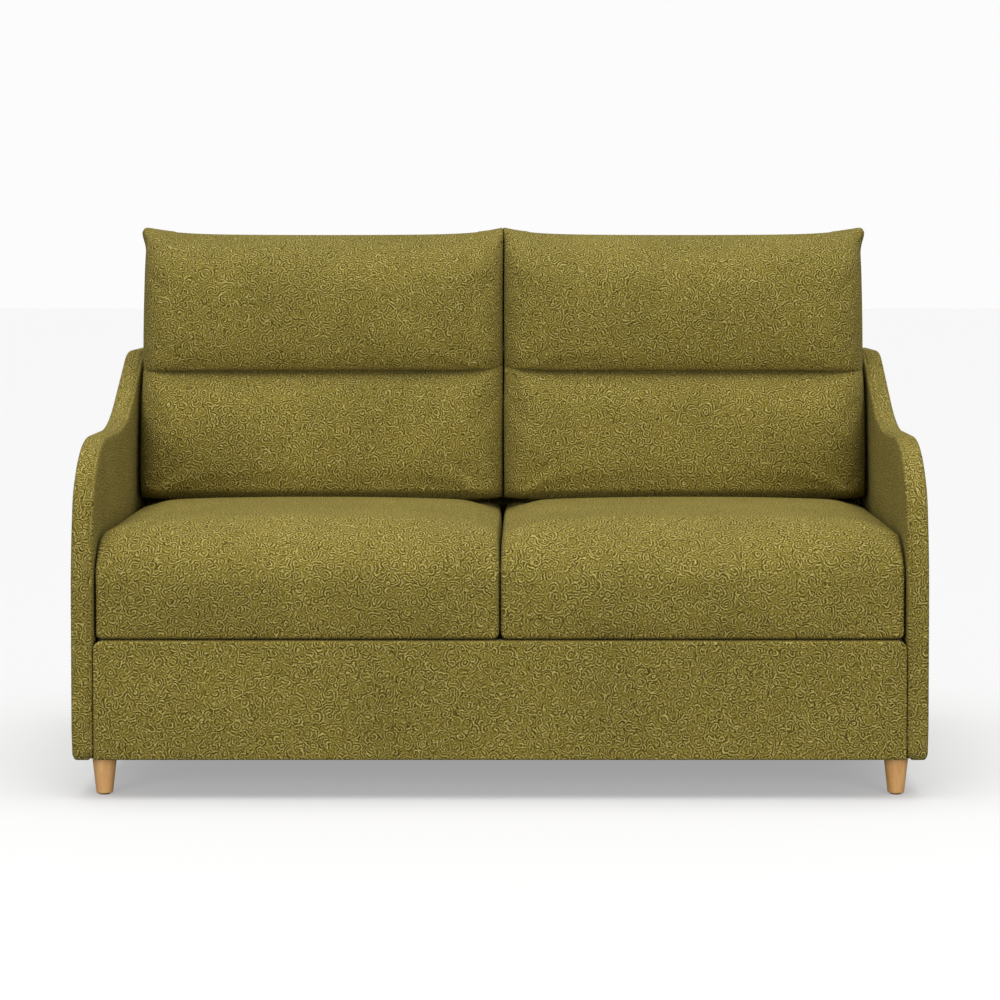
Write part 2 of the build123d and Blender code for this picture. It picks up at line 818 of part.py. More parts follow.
def save_cushions():
    """Writes both seat cushions and both back cushions with their zip sliders."""
    for kind, (pieces, slider) in (("seat", seat_parts()), ("back", pillow_parts())):
        for name, piece in {**pieces, "zip_slider": slider}.items():
            save(f"{kind}_cushion_right_{name}", piece)
            save(f"{kind}_cushion_left_{name}", mirrored(piece))


def save_pairs():
    """Writes the pieces that have a mirror image in a node of its own."""
    pairs = {
        "arm_panel": arm_panel(),
        "arm_foam": arm_foam(),
        "arm_cover": arm_cover(),
        "base_side_rail": side_rail(),
        "back_post": back_post(),
    }
    for name, piece in pairs.items():
        save(f"{name}_right", piece)
        save(f"{name}_left", mirrored(piece))


def save_single():
    """Writes the pieces and groups of fasteners that stand alone."""
    pieces = {
        "hex_bolts": arm_bolts() + frame_bolts(),
        "bolt_washers": arm_washers(),
        "t_nuts": arm_t_nuts() + frame_t_nuts(),
        "apron_cover": apron_cover(),
        "apron_foam": apron_foam(),
        "base_front_rail": front_rail(),
        "base_rear_rail": rear_rail(),
        "base_spring_rail": spring_rail(),
        "base_centre_rail": centre_rail(),
        "corner_blocks": corner_blocks(),
        "leg_plates": leg_plates(),
        "leg_plate_screws": leg_plate_screws(),
        "leg_bolts": leg_bolts(),
        "leg_glides": leg_glides(),
        "seat_springs": seat_springs(),
        "spring_clips": spring_clips(),
        "deck_pad": deck_pad(),
        "deck_cover": deck_cover(),
        "dust_cover": dust_cover(),
        "back_centre_post": centre_post(),
        "back_bottom_rail": back_rail(284, 344),
        "back_top_rail": back_rail(692, 751),
        "back_top_board": back_top_board(),
        "back_webbing": back_webbing(),
        "back_foam": back_foam(),
        "back_board": back_board(),
        "inner_back_cover": inner_back_cover(),
        "outer_back_cover": outer_back_cover(),
    }
    for name, piece in pieces.items():
        save(name, piece)


def main():
    os.makedirs("parts", exist_ok=True)
    save_pairs()
    save_single()
    for name, (x, t) in leg_spots().items():
        save(f"leg_{name}", leg(x, t))
    save_cushions()


main()
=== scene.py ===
"""Looks of a two-seat sofa in olive curly boucle on four short tapered beech legs.

Everything is in metres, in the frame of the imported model: +X to the right seen from the front,
+Y to the rear, +Z up, origin on the floor under the middle of the sofa.
"""

import json
import logging
import math
from dataclasses import dataclass
from enum import Enum

import bmesh
import bpy
import numpy as np
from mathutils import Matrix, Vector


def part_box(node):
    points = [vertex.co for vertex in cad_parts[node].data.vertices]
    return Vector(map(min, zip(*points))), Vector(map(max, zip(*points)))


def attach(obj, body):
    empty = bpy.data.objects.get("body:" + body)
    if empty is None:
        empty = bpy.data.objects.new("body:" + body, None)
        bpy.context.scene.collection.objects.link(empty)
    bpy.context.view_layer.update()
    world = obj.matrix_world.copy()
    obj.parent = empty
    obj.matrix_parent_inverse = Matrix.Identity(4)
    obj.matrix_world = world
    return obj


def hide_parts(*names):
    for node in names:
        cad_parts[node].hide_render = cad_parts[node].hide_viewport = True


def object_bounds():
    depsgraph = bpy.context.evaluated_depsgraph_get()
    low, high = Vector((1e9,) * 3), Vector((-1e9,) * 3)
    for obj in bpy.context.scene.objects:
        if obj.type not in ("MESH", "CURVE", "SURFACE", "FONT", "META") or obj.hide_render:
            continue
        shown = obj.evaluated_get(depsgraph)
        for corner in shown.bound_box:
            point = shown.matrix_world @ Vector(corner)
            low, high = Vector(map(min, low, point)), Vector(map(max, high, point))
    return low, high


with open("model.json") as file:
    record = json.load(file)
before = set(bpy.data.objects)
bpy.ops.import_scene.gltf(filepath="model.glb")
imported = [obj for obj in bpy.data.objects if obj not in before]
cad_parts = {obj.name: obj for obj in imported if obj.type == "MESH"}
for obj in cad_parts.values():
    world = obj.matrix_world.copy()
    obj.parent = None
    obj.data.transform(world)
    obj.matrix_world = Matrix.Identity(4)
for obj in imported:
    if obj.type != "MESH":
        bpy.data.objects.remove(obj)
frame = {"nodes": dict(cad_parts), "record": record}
CAD_BOX = [list(corner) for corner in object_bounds()]
FRONT = CAD_BOX[0][1]
MM = 0.001
RAKE = math.radians(11.0)  # how far the back leans
WADDING = 8 * MM  # between a cushion's cover and its core
CLOTH = 2.5 * MM  # the upholstery

log = logging.getLogger("sofa")


class Side(Enum):
    """Which half of the sofa a piece belongs to, with the sign of its X."""

    LEFT = -1
    RIGHT = 1

    @property
    def word(self) -> str:
        """The side's name as it appears in the nodes."""
        return self.name.lower()


# Colour and node helpers


def linear(code: str) -> tuple[float, float, float, float]:
    """Turns an sRGB hex colour into linear red, green, blue and alpha.

    Args:
        code: six hex digits with a leading hash.

    Returns:
        The linear colour, with alpha 1.
    """
    parts = [int(code[i : i + 2], 16) / 255 for i in (1, 3, 5)]
    red, green, blue = (c / 12.92 if c <= 0.04045 else ((c + 0.055) / 1.055) ** 2.4 for c in parts)
    return (red, green, blue, 1.0)


def add(tree: bpy.types.NodeTree, kind: str, inputs: dict | None = None, **settings) -> bpy.types.Node:
    """Adds one shader node.

    Args:
        tree: the material's node tree.
        kind: the node's type.
        inputs: socket name or number to a value, or to an output socket to link from.
        **settings: the node's own properties.

    Returns:
        The new node.
    """
    node = tree.nodes.new(kind)
    for name, value in settings.items():
        setattr(node, name, value)
    for key, value in (inputs or {}).items():
        if isinstance(value, bpy.types.NodeSocket):
            tree.links.new(value, node.inputs[key])
        else:
            node.inputs[key].default_value = value
    return node


def new_material(name: str) -> tuple[bpy.types.Material, bpy.types.NodeTree, bpy.types.NodeSocket]:
    """Makes a node material that holds only the place on the object, in metres.

    Args:
        name: the material's name.

    Returns:
        The material, its node tree and the place.
    """
    material = bpy.data.materials.new(name)
    material.use_nodes = True
    tree = material.node_tree
    tree.nodes.clear()
    return material, tree, add(tree, "ShaderNodeTexCoord").outputs["Object"]


def noise(
    tree: bpy.types.NodeTree, place: bpy.types.NodeSocket, scale: float, detail: float
) -> bpy.types.Node:
    """Adds noise with so many lumps to the metre, and so many finer layers on top."""
    return add(tree, "ShaderNodeTexNoise", {"Vector": place, "Scale": scale, "Detail": detail})


def finish_surface(tree: bpy.types.NodeTree, inputs: dict) -> None:
    """Adds the surface shader and the output.

    Args:
        tree: the material's node tree.
        inputs: the surface shader's sockets.
    """
    surface = add(tree, "ShaderNodeBsdfPrincipled", inputs)
    add(tree, "ShaderNodeOutputMaterial", {"Surface": surface.outputs["BSDF"]})


def colour_ramp(tree: bpy.types.NodeTree, factor: bpy.types.NodeSocket, stops: list) -> bpy.types.NodeSocket:
    """Maps a value to colours.

    Args:
        tree: the material's node tree.
        factor: the value from 0 to 1.
        stops: (position, sRGB hex) pairs, in order.

    Returns:
        The colour output.
    """
    ramp = add(tree, "ShaderNodeValToRGB", {"Fac": factor})
    elements = ramp.color_ramp.elements
    while len(elements) < len(stops):
        elements.new(0.5)
    for element, (place, code) in zip(elements, stops):
        element.position = place
        element.color = linear(code)
    return ramp.outputs["Color"]


# Finishes


@dataclass(frozen=True)
class CurlyBoucle:
    """Olive boucle woven from a looped chenille yarn, brushed and steamed.

    The loops lie on the cloth as short curled worms. Its colour holds painted light: a painted highlight on
    top of the loops and painted shade in the gaps between them.
    """

    name: str = "olive_curly_boucle"
    # The darkest colour is painted shade in the gaps between the loops, and the lightest is a painted
    # highlight on their tops. The middle one is the yarn's own olive.
    gap: str = "#423708"
    body: str = "#80722e"
    painted_highlight: str = "#c8b96f"
    yarn_mm: float = 4.9  # from one loop to the next
    whorl_mm: float = 24.0  # from the middle of one curl to the next
    wander_mm: float = 2.2  # how far a loop bends aside
    bend_mm: float = 14.0  # over what length it bends
    small_share: float = 0.75  # size of the small curls among the large ones
    patch_mm: float = 11.0  # of large or of small curls
    press_mm: float = 8.0  # from a flattened loop to a standing one
    fibre_mm: float = 2.6
    cloud_mm: float = 140.0  # slow change of tone
    relief_mm: float = 2.0

    def bent(self, tree: bpy.types.NodeTree, place: bpy.types.NodeSocket) -> bpy.types.NodeSocket:
        """Shifts each place a little, one way here and another way there.

        Args:
            tree: the material's node tree.
            place: where on the cloth.

        Returns:
            The shifted place.
        """
        drift = noise(tree, place, 1 / (self.bend_mm * MM), 1.0)
        centred = add(tree, "ShaderNodeVectorMath", {0: drift.outputs["Color"], 1: (0.5, 0.5, 0.5)},
                      operation="SUBTRACT")
        moved = add(tree, "ShaderNodeVectorMath", {0: centred.outputs[0], "Scale": 4 * self.wander_mm * MM},
                    operation="SCALE")
        return add(tree, "ShaderNodeVectorMath", {0: place, 1: moved.outputs[0]}, operation="ADD").outputs[0]

    def loops(
        self, tree: bpy.types.NodeTree, place: bpy.types.NodeSocket, whorl_mm: float
    ) -> bpy.types.NodeSocket:
        """Rings of yarn round scattered middles, as sin(2 pi |v x n| / yarn + a phase of the whorl).

        v runs from the whorl's middle and n is the cloth's normal, so the rings keep their spacing
        whichever way the cloth cuts the whorl.

        Args:
            tree: the material's node tree.
            place: where on the bent cloth.
            whorl_mm: from the middle of one whorl to the next.

        Returns:
            A value from -1 in a gap to 1 on a loop.
        """
        whorl = add(tree, "ShaderNodeTexVoronoi", {"Vector": place, "Scale": 1 / (whorl_mm * MM)})
        normal = add(tree, "ShaderNodeNewGeometry").outputs["Normal"]
        away = add(tree, "ShaderNodeVectorMath", {0: place, 1: whorl.outputs["Position"]},
                   operation="SUBTRACT")
        flat = add(tree, "ShaderNodeVectorMath", {0: away.outputs[0], 1: normal},
                   operation="CROSS_PRODUCT")
        reach = add(tree, "ShaderNodeVectorMath", {0: flat.outputs[0]}, operation="LENGTH")
        phase = add(tree, "ShaderNodeVectorMath", {0: whorl.outputs["Color"], 1: (6.0, 9.0, 5.0)},
                    operation="DOT_PRODUCT")
        angle = add(tree, "ShaderNodeMath", {0: reach.outputs["Value"], 1: 2 * math.pi / (self.yarn_mm * MM),
                                             2: phase.outputs["Value"]}, operation="MULTIPLY_ADD")
        return add(tree, "ShaderNodeMath", {0: angle.outputs[0]}, operation="SINE").outputs[0]

    def build(self) -> bpy.types.Material:
        """Makes the boucle: a painted highlight on the loops over painted shade in the gaps, with loose
        fibres and a slow change of tone.
        """
        material, tree, place = new_material(self.name)
        bent = self.bent(tree, place)
        shifted = add(tree, "ShaderNodeVectorMath", {0: bent, 1: (0.31, 0.17, 0.53)}, operation="ADD")
        patch = noise(tree, place, 1 / (self.patch_mm * MM), 0.0)
        choice = add(tree, "ShaderNodeMapRange", {"Value": patch.outputs["Fac"], "From Min": 0.42,
                                                  "From Max": 0.54})
        large = self.loops(tree, bent, self.whorl_mm)
        small = self.loops(tree, shifted.outputs[0], self.small_share * self.whorl_mm)
        mixed = add(tree, "ShaderNodeMix", {"Factor": choice.outputs[0], "A": large, "B": small})
        pressed = noise(tree, bent, 1 / (self.press_mm * MM), 1.0)
        stands = add(tree, "ShaderNodeMapRange", {"Value": pressed.outputs["Fac"], "From Min": 0.36,
                                                  "From Max": 0.6, "To Min": 0.25, "To Max": 1.15})
        raised = add(tree, "ShaderNodeMath", {0: mixed.outputs["Result"], 1: stands.outputs[0]},
                     operation="MULTIPLY")
        yarn = add(tree, "ShaderNodeMapRange", {"Value": raised.outputs[0], "From Min": -0.95,
                                                "From Max": 1.05})
        fuzz = noise(tree, place, 1 / (self.fibre_mm * MM), 2.0)
        height = add(tree, "ShaderNodeMath", {0: fuzz.outputs["Fac"], 1: 1.1, 2: yarn.outputs[0]},
                     operation="MULTIPLY_ADD")
        # The height of the loops and fibres sets the colour as well as the bump: painted shade where it is
        # low and a painted highlight where it is high.
        shade = add(tree, "ShaderNodeMapRange", {"Value": height.outputs[0], "From Min": 0.4,
                                                 "From Max": 1.7})
        colour = colour_ramp(tree, shade.outputs[0], [(0.0, self.gap), (0.5, self.body), (1.0, self.painted_highlight)])
        cloud = noise(tree, place, 1 / (self.cloud_mm * MM), 3.0)
        tone = add(tree, "ShaderNodeMapRange", {"Value": cloud.outputs["Fac"], "From Min": 0.3,
                                                "From Max": 0.7, "To Min": 0.92, "To Max": 1.08})
        toned = add(tree, "ShaderNodeVectorMath", {0: colour, "Scale": tone.outputs[0]}, operation="SCALE")
        bump = add(tree, "ShaderNodeBump", {"Height": height.outputs[0], "Strength": 0.8,
                                            "Distance": self.relief_mm * MM})
        finish_surface(tree, {"Base Color": toned.outputs[0], "Roughness": 0.95, "Normal": bump.outputs[0],
                              "Sheen Weight": 0.12, "Sheen Roughness": 0.55, "Sheen Tint": linear("#c9bf83"),
                              "Specular IOR Level": 0.12})
        return material


@dataclass(frozen=True)
class Timber:
    """Sawn or turned wood, with growth rings drawn out along its grain."""

    name: str
    light: str
    dark: str
    grain: tuple[float, float, float]  # waves per metre along X, Y and Z, least along the grain
    roughness: float = 0.6
    coat: float = 0.0

    def build(self) -> bpy.types.Material:
        """Makes the wood: stretched noise for the rings and fine streaks for the pores."""
        material, tree, place = new_material(self.name)
        stretched = add(tree, "ShaderNodeMapping", {"Vector": place, "Scale": self.grain})
        rings = add(tree, "ShaderNodeTexNoise", {"Vector": stretched.outputs[0], "Scale": 1.0, "Detail": 3.0,
                                                 "Distortion": 0.6})
        pores = noise(tree, stretched.outputs[0], 9.0, 4.0)
        mixed = add(tree, "ShaderNodeMath", {0: pores.outputs["Fac"], 1: 0.35, 2: rings.outputs["Fac"]},
                    operation="MULTIPLY_ADD")
        spread = add(tree, "ShaderNodeMapRange", {"Value": mixed.outputs[0], "From Min": 0.45,
                                                  "From Max": 0.95})
        colour = colour_ramp(tree, spread.outputs[0], [(0.0, self.light), (1.0, self.dark)])
        bump = add(tree, "ShaderNodeBump", {"Height": pores.outputs["Fac"], "Strength": 0.25,
                                            "Distance": 0.0003})
        finish_surface(tree, {"Base Color": colour, "Roughness": self.roughness, "Normal": bump.outputs[0],
                              "Coat Weight": self.coat, "Coat Roughness": 0.25})
        return material


@dataclass(frozen=True)
class ParticleBoard:
    """Pressed wood chips, sanded."""

    name: str
    light: str
    dark: str
    chip_mm: float = 3.0

    def build(self) -> bpy.types.Material:
        """Makes the board: small cells of slightly different browns."""
        material, tree, place = new_material(self.name)
        chips = add(tree, "ShaderNodeTexVoronoi", {"Vector": place, "Scale": 1 / (self.chip_mm * MM)})
        fibre = noise(tree, place, 900.0, 3.0)
        mixed = add(tree, "ShaderNodeMix", {"Factor": 0.5, "A": chips.outputs["Color"],
                                            "B": fibre.outputs["Color"]}, data_type="RGBA")
        grey = add(tree, "ShaderNodeRGBToBW", {"Color": mixed.outputs["Result"]})
        colour = colour_ramp(tree, grey.outputs[0], [(0.25, self.dark), (0.75, self.light)])
        bump = add(tree, "ShaderNodeBump", {"Height": grey.outputs[0], "Strength": 0.3, "Distance": 0.0003})
        finish_surface(tree, {"Base Color": colour, "Roughness": 0.8, "Normal": bump.outputs[0]})
        return material


@dataclass(frozen=True)
class Cloth:
    """Plain woven or spun cloth, with threads at a real spacing."""

    name: str
    thread: str
    gap: str
    spacing_mm: float
    roughness: float = 0.9

    def build(self) -> bpy.types.Material:
        """Makes the cloth: two crossed sets of waves, one per thread direction, roughened by noise."""
        material, tree, place = new_material(self.name)
        waves = []
        threads = 0.05 / (self.spacing_mm * MM) * 6.283
        for axis in ("X", "Y", "Z"):
            wave = add(tree, "ShaderNodeTexWave", {"Vector": place, "Scale": threads, "Distortion": 0.6,
                                                   "Detail": 1.0}, bands_direction=axis)
            waves.append(wave.outputs["Fac"])
        pair = add(tree, "ShaderNodeMath", {0: waves[0], 1: waves[1]}, operation="MAXIMUM")
        weave = add(tree, "ShaderNodeMath", {0: pair.outputs[0], 1: waves[2]}, operation="MULTIPLY")
        lint = noise(tree, place, 700.0, 2.0)
        height = add(tree, "ShaderNodeMath", {0: lint.outputs["Fac"], 1: 0.5, 2: weave.outputs[0]},
                     operation="MULTIPLY_ADD")
        colour = colour_ramp(tree, height.outputs[0], [(0.2, self.gap), (1.0, self.thread)])
        bump = add(tree, "ShaderNodeBump", {"Height": height.outputs[0], "Strength": 0.5, "Distance": 0.0005})
        finish_surface(tree, {"Base Color": colour, "Roughness": self.roughness, "Normal": bump.outputs[0]})
        return material


@dataclass(frozen=True)
class CutFoam:
    """Open-cell foam or needled felt, cut with a knife: fine pits all over."""

    name: str
    light: str
    dark: str
    cell_mm: float = 1.6

    def build(self) -> bpy.types.Material:
        """Makes the foam: tiny cells, darker at their middles."""
        material, tree, place = new_material(self.name)
        cells = add(tree, "ShaderNodeTexVoronoi", {"Vector": place, "Scale": 1 / (self.cell_mm * MM)})
        cloud = noise(tree, place, 40.0, 4.0)
        mixed = add(tree, "ShaderNodeMath", {0: cloud.outputs["Fac"], 1: 0.6, 2: cells.outputs["Distance"]},
                    operation="MULTIPLY_ADD")
        colour = colour_ramp(tree, mixed.outputs[0], [(0.2, self.dark), (0.8, self.light)])
        bump = add(tree, "ShaderNodeBump", {"Height": cells.outputs["Distance"], "Strength": 0.6,
                                            "Distance": 0.0006})
        finish_surface(tree, {"Base Color": colour, "Roughness": 0.95, "Normal": bump.outputs[0]})
        return material


@dataclass(frozen=True)
class Metal:
    """Plated, tempered or cast metal with handling marks."""

    name: str
    colour: str
    worn: str
    roughness: float
    metallic: float = 1.0

    def build(self) -> bpy.types.Material:
        """Makes the metal: a mottled plating whose roughness varies a little."""
        material, tree, place = new_material(self.name)
        mottle = noise(tree, place, 180.0, 5.0)
        colour = colour_ramp(tree, mottle.outputs["Fac"], [(0.35, self.worn), (0.65, self.colour)])
        low, high = 0.8 * self.roughness, 1.25 * self.roughness
        rough = add(tree, "ShaderNodeMapRange", {"Value": mottle.outputs["Fac"], "To Min": low,
                                                 "To Max": high})
        finish_surface(tree, {"Base Color": colour, "Metallic": self.metallic, "Roughness": rough.outputs[0]})
        return material


@dataclass(frozen=True)
class MouldedPlastic:
    """Injection-moulded nylon with a fine spark-eroded texture."""

    name: str
    colour: str
    shade: str

    def build(self) -> bpy.types.Material:
        """Makes the plastic: an even colour broken by a fine eggshell grain."""
        material, tree, place = new_material(self.name)
        grain = noise(tree, place, 1500.0, 3.0)
        colour = colour_ramp(tree, grain.outputs["Fac"], [(0.3, self.shade), (0.7, self.colour)])
        bump = add(tree, "ShaderNodeBump", {"Height": grain.outputs["Fac"], "Strength": 0.2,
                                            "Distance": 0.0002})
        finish_surface(tree, {"Base Color": colour, "Roughness": 0.5, "Normal": bump.outputs[0]})
        return material


def sofa_finishes() -> dict[str, bpy.types.Material]:
    """One material for each slot of the record."""
    finishes = {
        "upholstery": CurlyBoucle(),
        "foam": CutFoam("cut_polyether_foam", "#efe6c4", "#cdbf92"),
        "beech": Timber("beech_satin_lacquer", "#fbc988", "#e3a35c", (120.0, 120.0, 16.0), 0.42, 0.35),
        "pine": Timber("planed_pine", "#e2c794", "#c49a5e", (14.0, 90.0, 90.0)),
        "particle_board": ParticleBoard("sanded_particle_board", "#c8a874", "#9a7a4c"),
        "hardboard": ParticleBoard("tempered_hardboard", "#7a5230", "#5a3a20", 1.5),
        "felt": CutFoam("needled_grey_felt", "#8b8780", "#5f5c57", 2.4),
        "platform_cloth": Cloth("woven_platform_lining", "#3a372f", "#201e1a", 1.2),
        "dust_cloth": Cloth("spun_dust_cloth", "#2c2b2a", "#161616", 1.8),
        "webbing": Cloth("elastic_webbing", "#3c3c44", "#1c1c22", 2.5),
        "spring_steel": Metal("oil_tempered_spring_wire", "#4a4a4d", "#2d2c2b", 0.4, 0.9),
        "zinc_steel": Metal("bright_zinc_plated_steel", "#c3c3be", "#9a9a96", 0.32),
        "zip_metal": Metal("antique_zinc_zip_slider", "#6f6a5a", "#46423a", 0.38),
        "zip_tape": Cloth("woven_zip_tape", "#5d5426", "#3b3516", 0.9),
        "nylon": MouldedPlastic("moulded_nylon_glide", "#2b2724", "#1d1a18"),
    }
    return {slot: finish.build() for slot, finish in finishes.items()}


# Mesh helpers


def mesh_from_grids(name: str, grids: list[np.ndarray]) -> bpy.types.Object:
    """Makes one object from grids of points, closing them where their borders meet.

    Args:
        name: the object's name.
        grids: arrays of shape (rows, columns, 3), each a surface of two parameters.

    Returns:
        The object, smooth shaded, with faces pointing out.
    """
    same_place = 2e-5
    points, faces, start = [], [], 0
    for grid in grids:
        rows, columns, _ = grid.shape
        index = start + np.arange(rows * columns).reshape(rows, columns)
        quads = np.stack([index[:-1, :-1], index[1:, :-1], index[1:, 1:], index[:-1, 1:]], axis=-1)
        faces.append(quads.reshape(-1, 4))
        points.append(grid.reshape(-1, 3))
        start += rows * columns
    mesh = bpy.data.meshes.new(name)
    mesh.from_pydata(np.concatenate(points).tolist(), [], np.concatenate(faces).tolist())
    work = bmesh.new()
    work.from_mesh(mesh)
    bmesh.ops.remove_doubles(work, verts=work.verts, dist=same_place)
    bmesh.ops.dissolve_degenerate(work, edges=work.edges, dist=1e-6)
    bmesh.ops.recalc_face_normals(work, faces=work.faces)
    work.to_mesh(mesh)
    work.free()
    mesh.shade_smooth()
    piece = bpy.data.objects.new(name, mesh)
    bpy.context.scene.collection.objects.link(piece)
    return piece


def coordinates(mesh: bpy.types.Mesh) -> np.ndarray:
    """Reads a mesh's points as an array of shape (count, 3)."""
    values = np.empty(len(mesh.vertices) * 3)
    mesh.vertices.foreach_get("co", values)
    return values.reshape(-1, 3)


def move_points(mesh: bpy.types.Mesh, points: np.ndarray) -> None:
    """Writes an array of points back into a mesh."""
    mesh.vertices.foreach_set("co", points.reshape(-1))
    mesh.update()


def rounded_path(corners: list, radii: list[float], spacing: float) -> np.ndarray:
    """An open line through corners, each rounded by an arc that touches both of its sides.

    Args:
        corners: (a, b) points, the two ends included.
        radii: one radius for each corner between the ends.
        spacing: distance between the points of the result.

    Returns:
        Points of shape (count, 2), evenly spaced along the line.
    """
    corner = [np.array(point, float) for point in corners]
    line = [corner[0][None, :]]
    for before, here, after, radius in zip(corner[:-2], corner[1:-1], corner[2:], radii):
        arriving = (here - before) / np.linalg.norm(here - before)
        leaving = (after - here) / np.linalg.norm(after - here)
        turn = math.acos(float(np.clip(arriving @ leaving, -1, 1)))
        reach = radius * math.tan(turn / 2)
        share = np.linspace(0, turn, 25)[:, None]
        side = leaving - (leaving @ arriving) * arriving
        side = side / np.linalg.norm(side)
        start = here - arriving * reach
        line.append(start + radius * (np.sin(share) * arriving + (1 - np.cos(share)) * side))
    line.append(corner[-1][None, :])
    dense = np.concatenate(line)
    run = np.concatenate([[0], np.cumsum(np.linalg.norm(np.diff(dense, axis=0), axis=1))])
    keep = np.concatenate([[True], np.diff(run) > 1e-9])
    run, dense = run[keep], dense[keep]
    steps = np.linspace(0, run[-1], int(run[-1] / spacing) + 1)
    return np.stack([np.interp(steps, run, dense[:, 0]), np.interp(steps, run, dense[:, 1])], axis=1)


def resampled(line: np.ndarray, count: int) -> np.ndarray:
    """The same line with another number of evenly spaced points."""
    run = np.concatenate([[0], np.cumsum(np.linalg.norm(np.diff(line, axis=0), axis=1))])
    steps = np.linspace(0, run[-1], count)
    return np.stack([np.interp(steps, run, line[:, 0]), np.interp(steps, run, line[:, 1])], axis=1)


def smooth_step(value: np.ndarray, low: float, high: float) -> np.ndarray:
    """0 below low, 1 above high, and an S-shaped rise between them."""
    share = np.clip((value - low) / (high - low), 0, 1)
    return share * share * (3 - 2 * share)


def ripple(a: np.ndarray, b: np.ndarray, seed: int, reach: float) -> np.ndarray:
    """Soft random unevenness from -1 to 1: a sum of sine waves in fixed random directions.

    Args:
        a: first coordinate in metres.
        b: second coordinate in metres.
        seed: seed of the wave directions.
        reach: highest wave number, in radians per metre.

    Returns:
        The unevenness at each point.
    """
    waves = 7
    draw = np.random.default_rng(seed)
    total = np.zeros_like(a)
    for ka, kb, phase in draw.uniform(-1, 1, (waves, 3)):
        total = total + np.sin(reach * (ka * a + kb * b) + phase * math.pi)
    return total / waves


def subdivide(piece: bpy.types.Object) -> None:
    """Adds a live subdivision of one level, in view and render."""
    modifier = piece.modifiers.new("smooth", "SUBSURF")
    modifier.levels = 1
    modifier.render_levels = 1


def stand_in(piece: bpy.types.Object, material: bpy.types.Material, body: str, node: str) -> None:
    """Puts a new piece in the place of a node of the frame.

    Args:
        piece: the new object.
        material: its finish.
        body: the body that it moves with.
        node: the node that it replaces.
    """
    piece.data.materials.clear()
    piece.data.materials.append(material)
    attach(piece, body)
    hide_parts(node)


def filling(cover: bpy.types.Object, name: str, above: float, below: float) -> bpy.types.Object:
    """The core inside a cover: the cover's own shape moved inwards along its normals, cut level.

    Args:
        cover: the cover that the core fills.
        name: the core's name.
        above: the core keeps what lies above this height.
        below: the core keeps what lies below this height.

    Returns:
        The core, closed where it is cut.
    """
    mesh = cover.data.copy()
    mesh.name = name
    normals = np.empty(len(mesh.vertices) * 3)
    mesh.vertices.foreach_get("normal", normals)
    move_points(mesh, coordinates(mesh) - WADDING * normals.reshape(-1, 3))
    work = bmesh.new()
    work.from_mesh(mesh)
    for height, way in ((above, -1), (below, 1)):
        everything = [*work.verts, *work.edges, *work.faces]
        bmesh.ops.bisect_plane(work, geom=everything, plane_co=(0, 0, height), plane_no=(0, 0, way),
                               clear_outer=True)
        open_edges = [edge for edge in work.edges if edge.is_boundary]
        if open_edges:
            bmesh.ops.contextual_create(work, geom=open_edges)
    bmesh.ops.triangulate(work, faces=[face for face in work.faces if len(face.verts) > 4])
    bmesh.ops.recalc_face_normals(work, faces=work.faces)
    work.to_mesh(mesh)
    work.free()
    core = bpy.data.objects.new(name, mesh)
    bpy.context.scene.collection.objects.link(core)
    return core


# Stuffing


@dataclass(frozen=True)
class Stuffing:
    """Blows a sewn cover up from inside, as its filling does, with its seams held."""

    pressure: float = 4.0
    cap: float = 9 * MM
    frames: int = 16

    def swell(self, piece: bpy.types.Object, held: np.ndarray) -> None:
        """Runs the cloth and keeps its result as the mesh.

        Args:
            piece: the cover.
            held: for each point, whether a seam or a support holds it.
        """
        rest = coordinates(piece.data)
        group = piece.vertex_groups.new(name="held")
        for index in np.flatnonzero(held):
            group.add([int(index)], 1.0, "REPLACE")
        cloth = piece.modifiers.new("stuffing", "CLOTH")
        settings = cloth.settings
        settings.quality = 5
        settings.mass = 0.3
        settings.tension_stiffness = 25
        settings.compression_stiffness = 25
        settings.shear_stiffness = 12
        settings.bending_stiffness = 1.2
        settings.use_pressure = True
        settings.uniform_pressure_force = self.pressure
        settings.vertex_group_mass = "held"
        settings.effector_weights.gravity = 0.0
        cloth.collision_settings.use_collision = False
        scene = bpy.context.scene
        for number in range(1, self.frames + 1):
            scene.frame_set(number)
        shaped = piece.evaluated_get(bpy.context.evaluated_depsgraph_get()).to_mesh()
        moved = coordinates(shaped) - rest
        piece.modifiers.remove(cloth)
        piece.vertex_groups.remove(group)
        length = np.linalg.norm(moved, axis=1, keepdims=True)
        limit = self.cap * np.tanh(length / self.cap)
        move_points(piece.data, rest + moved * limit / np.maximum(length, 1e-9))
        scene.frame_set(1)


# Sub-assemblies


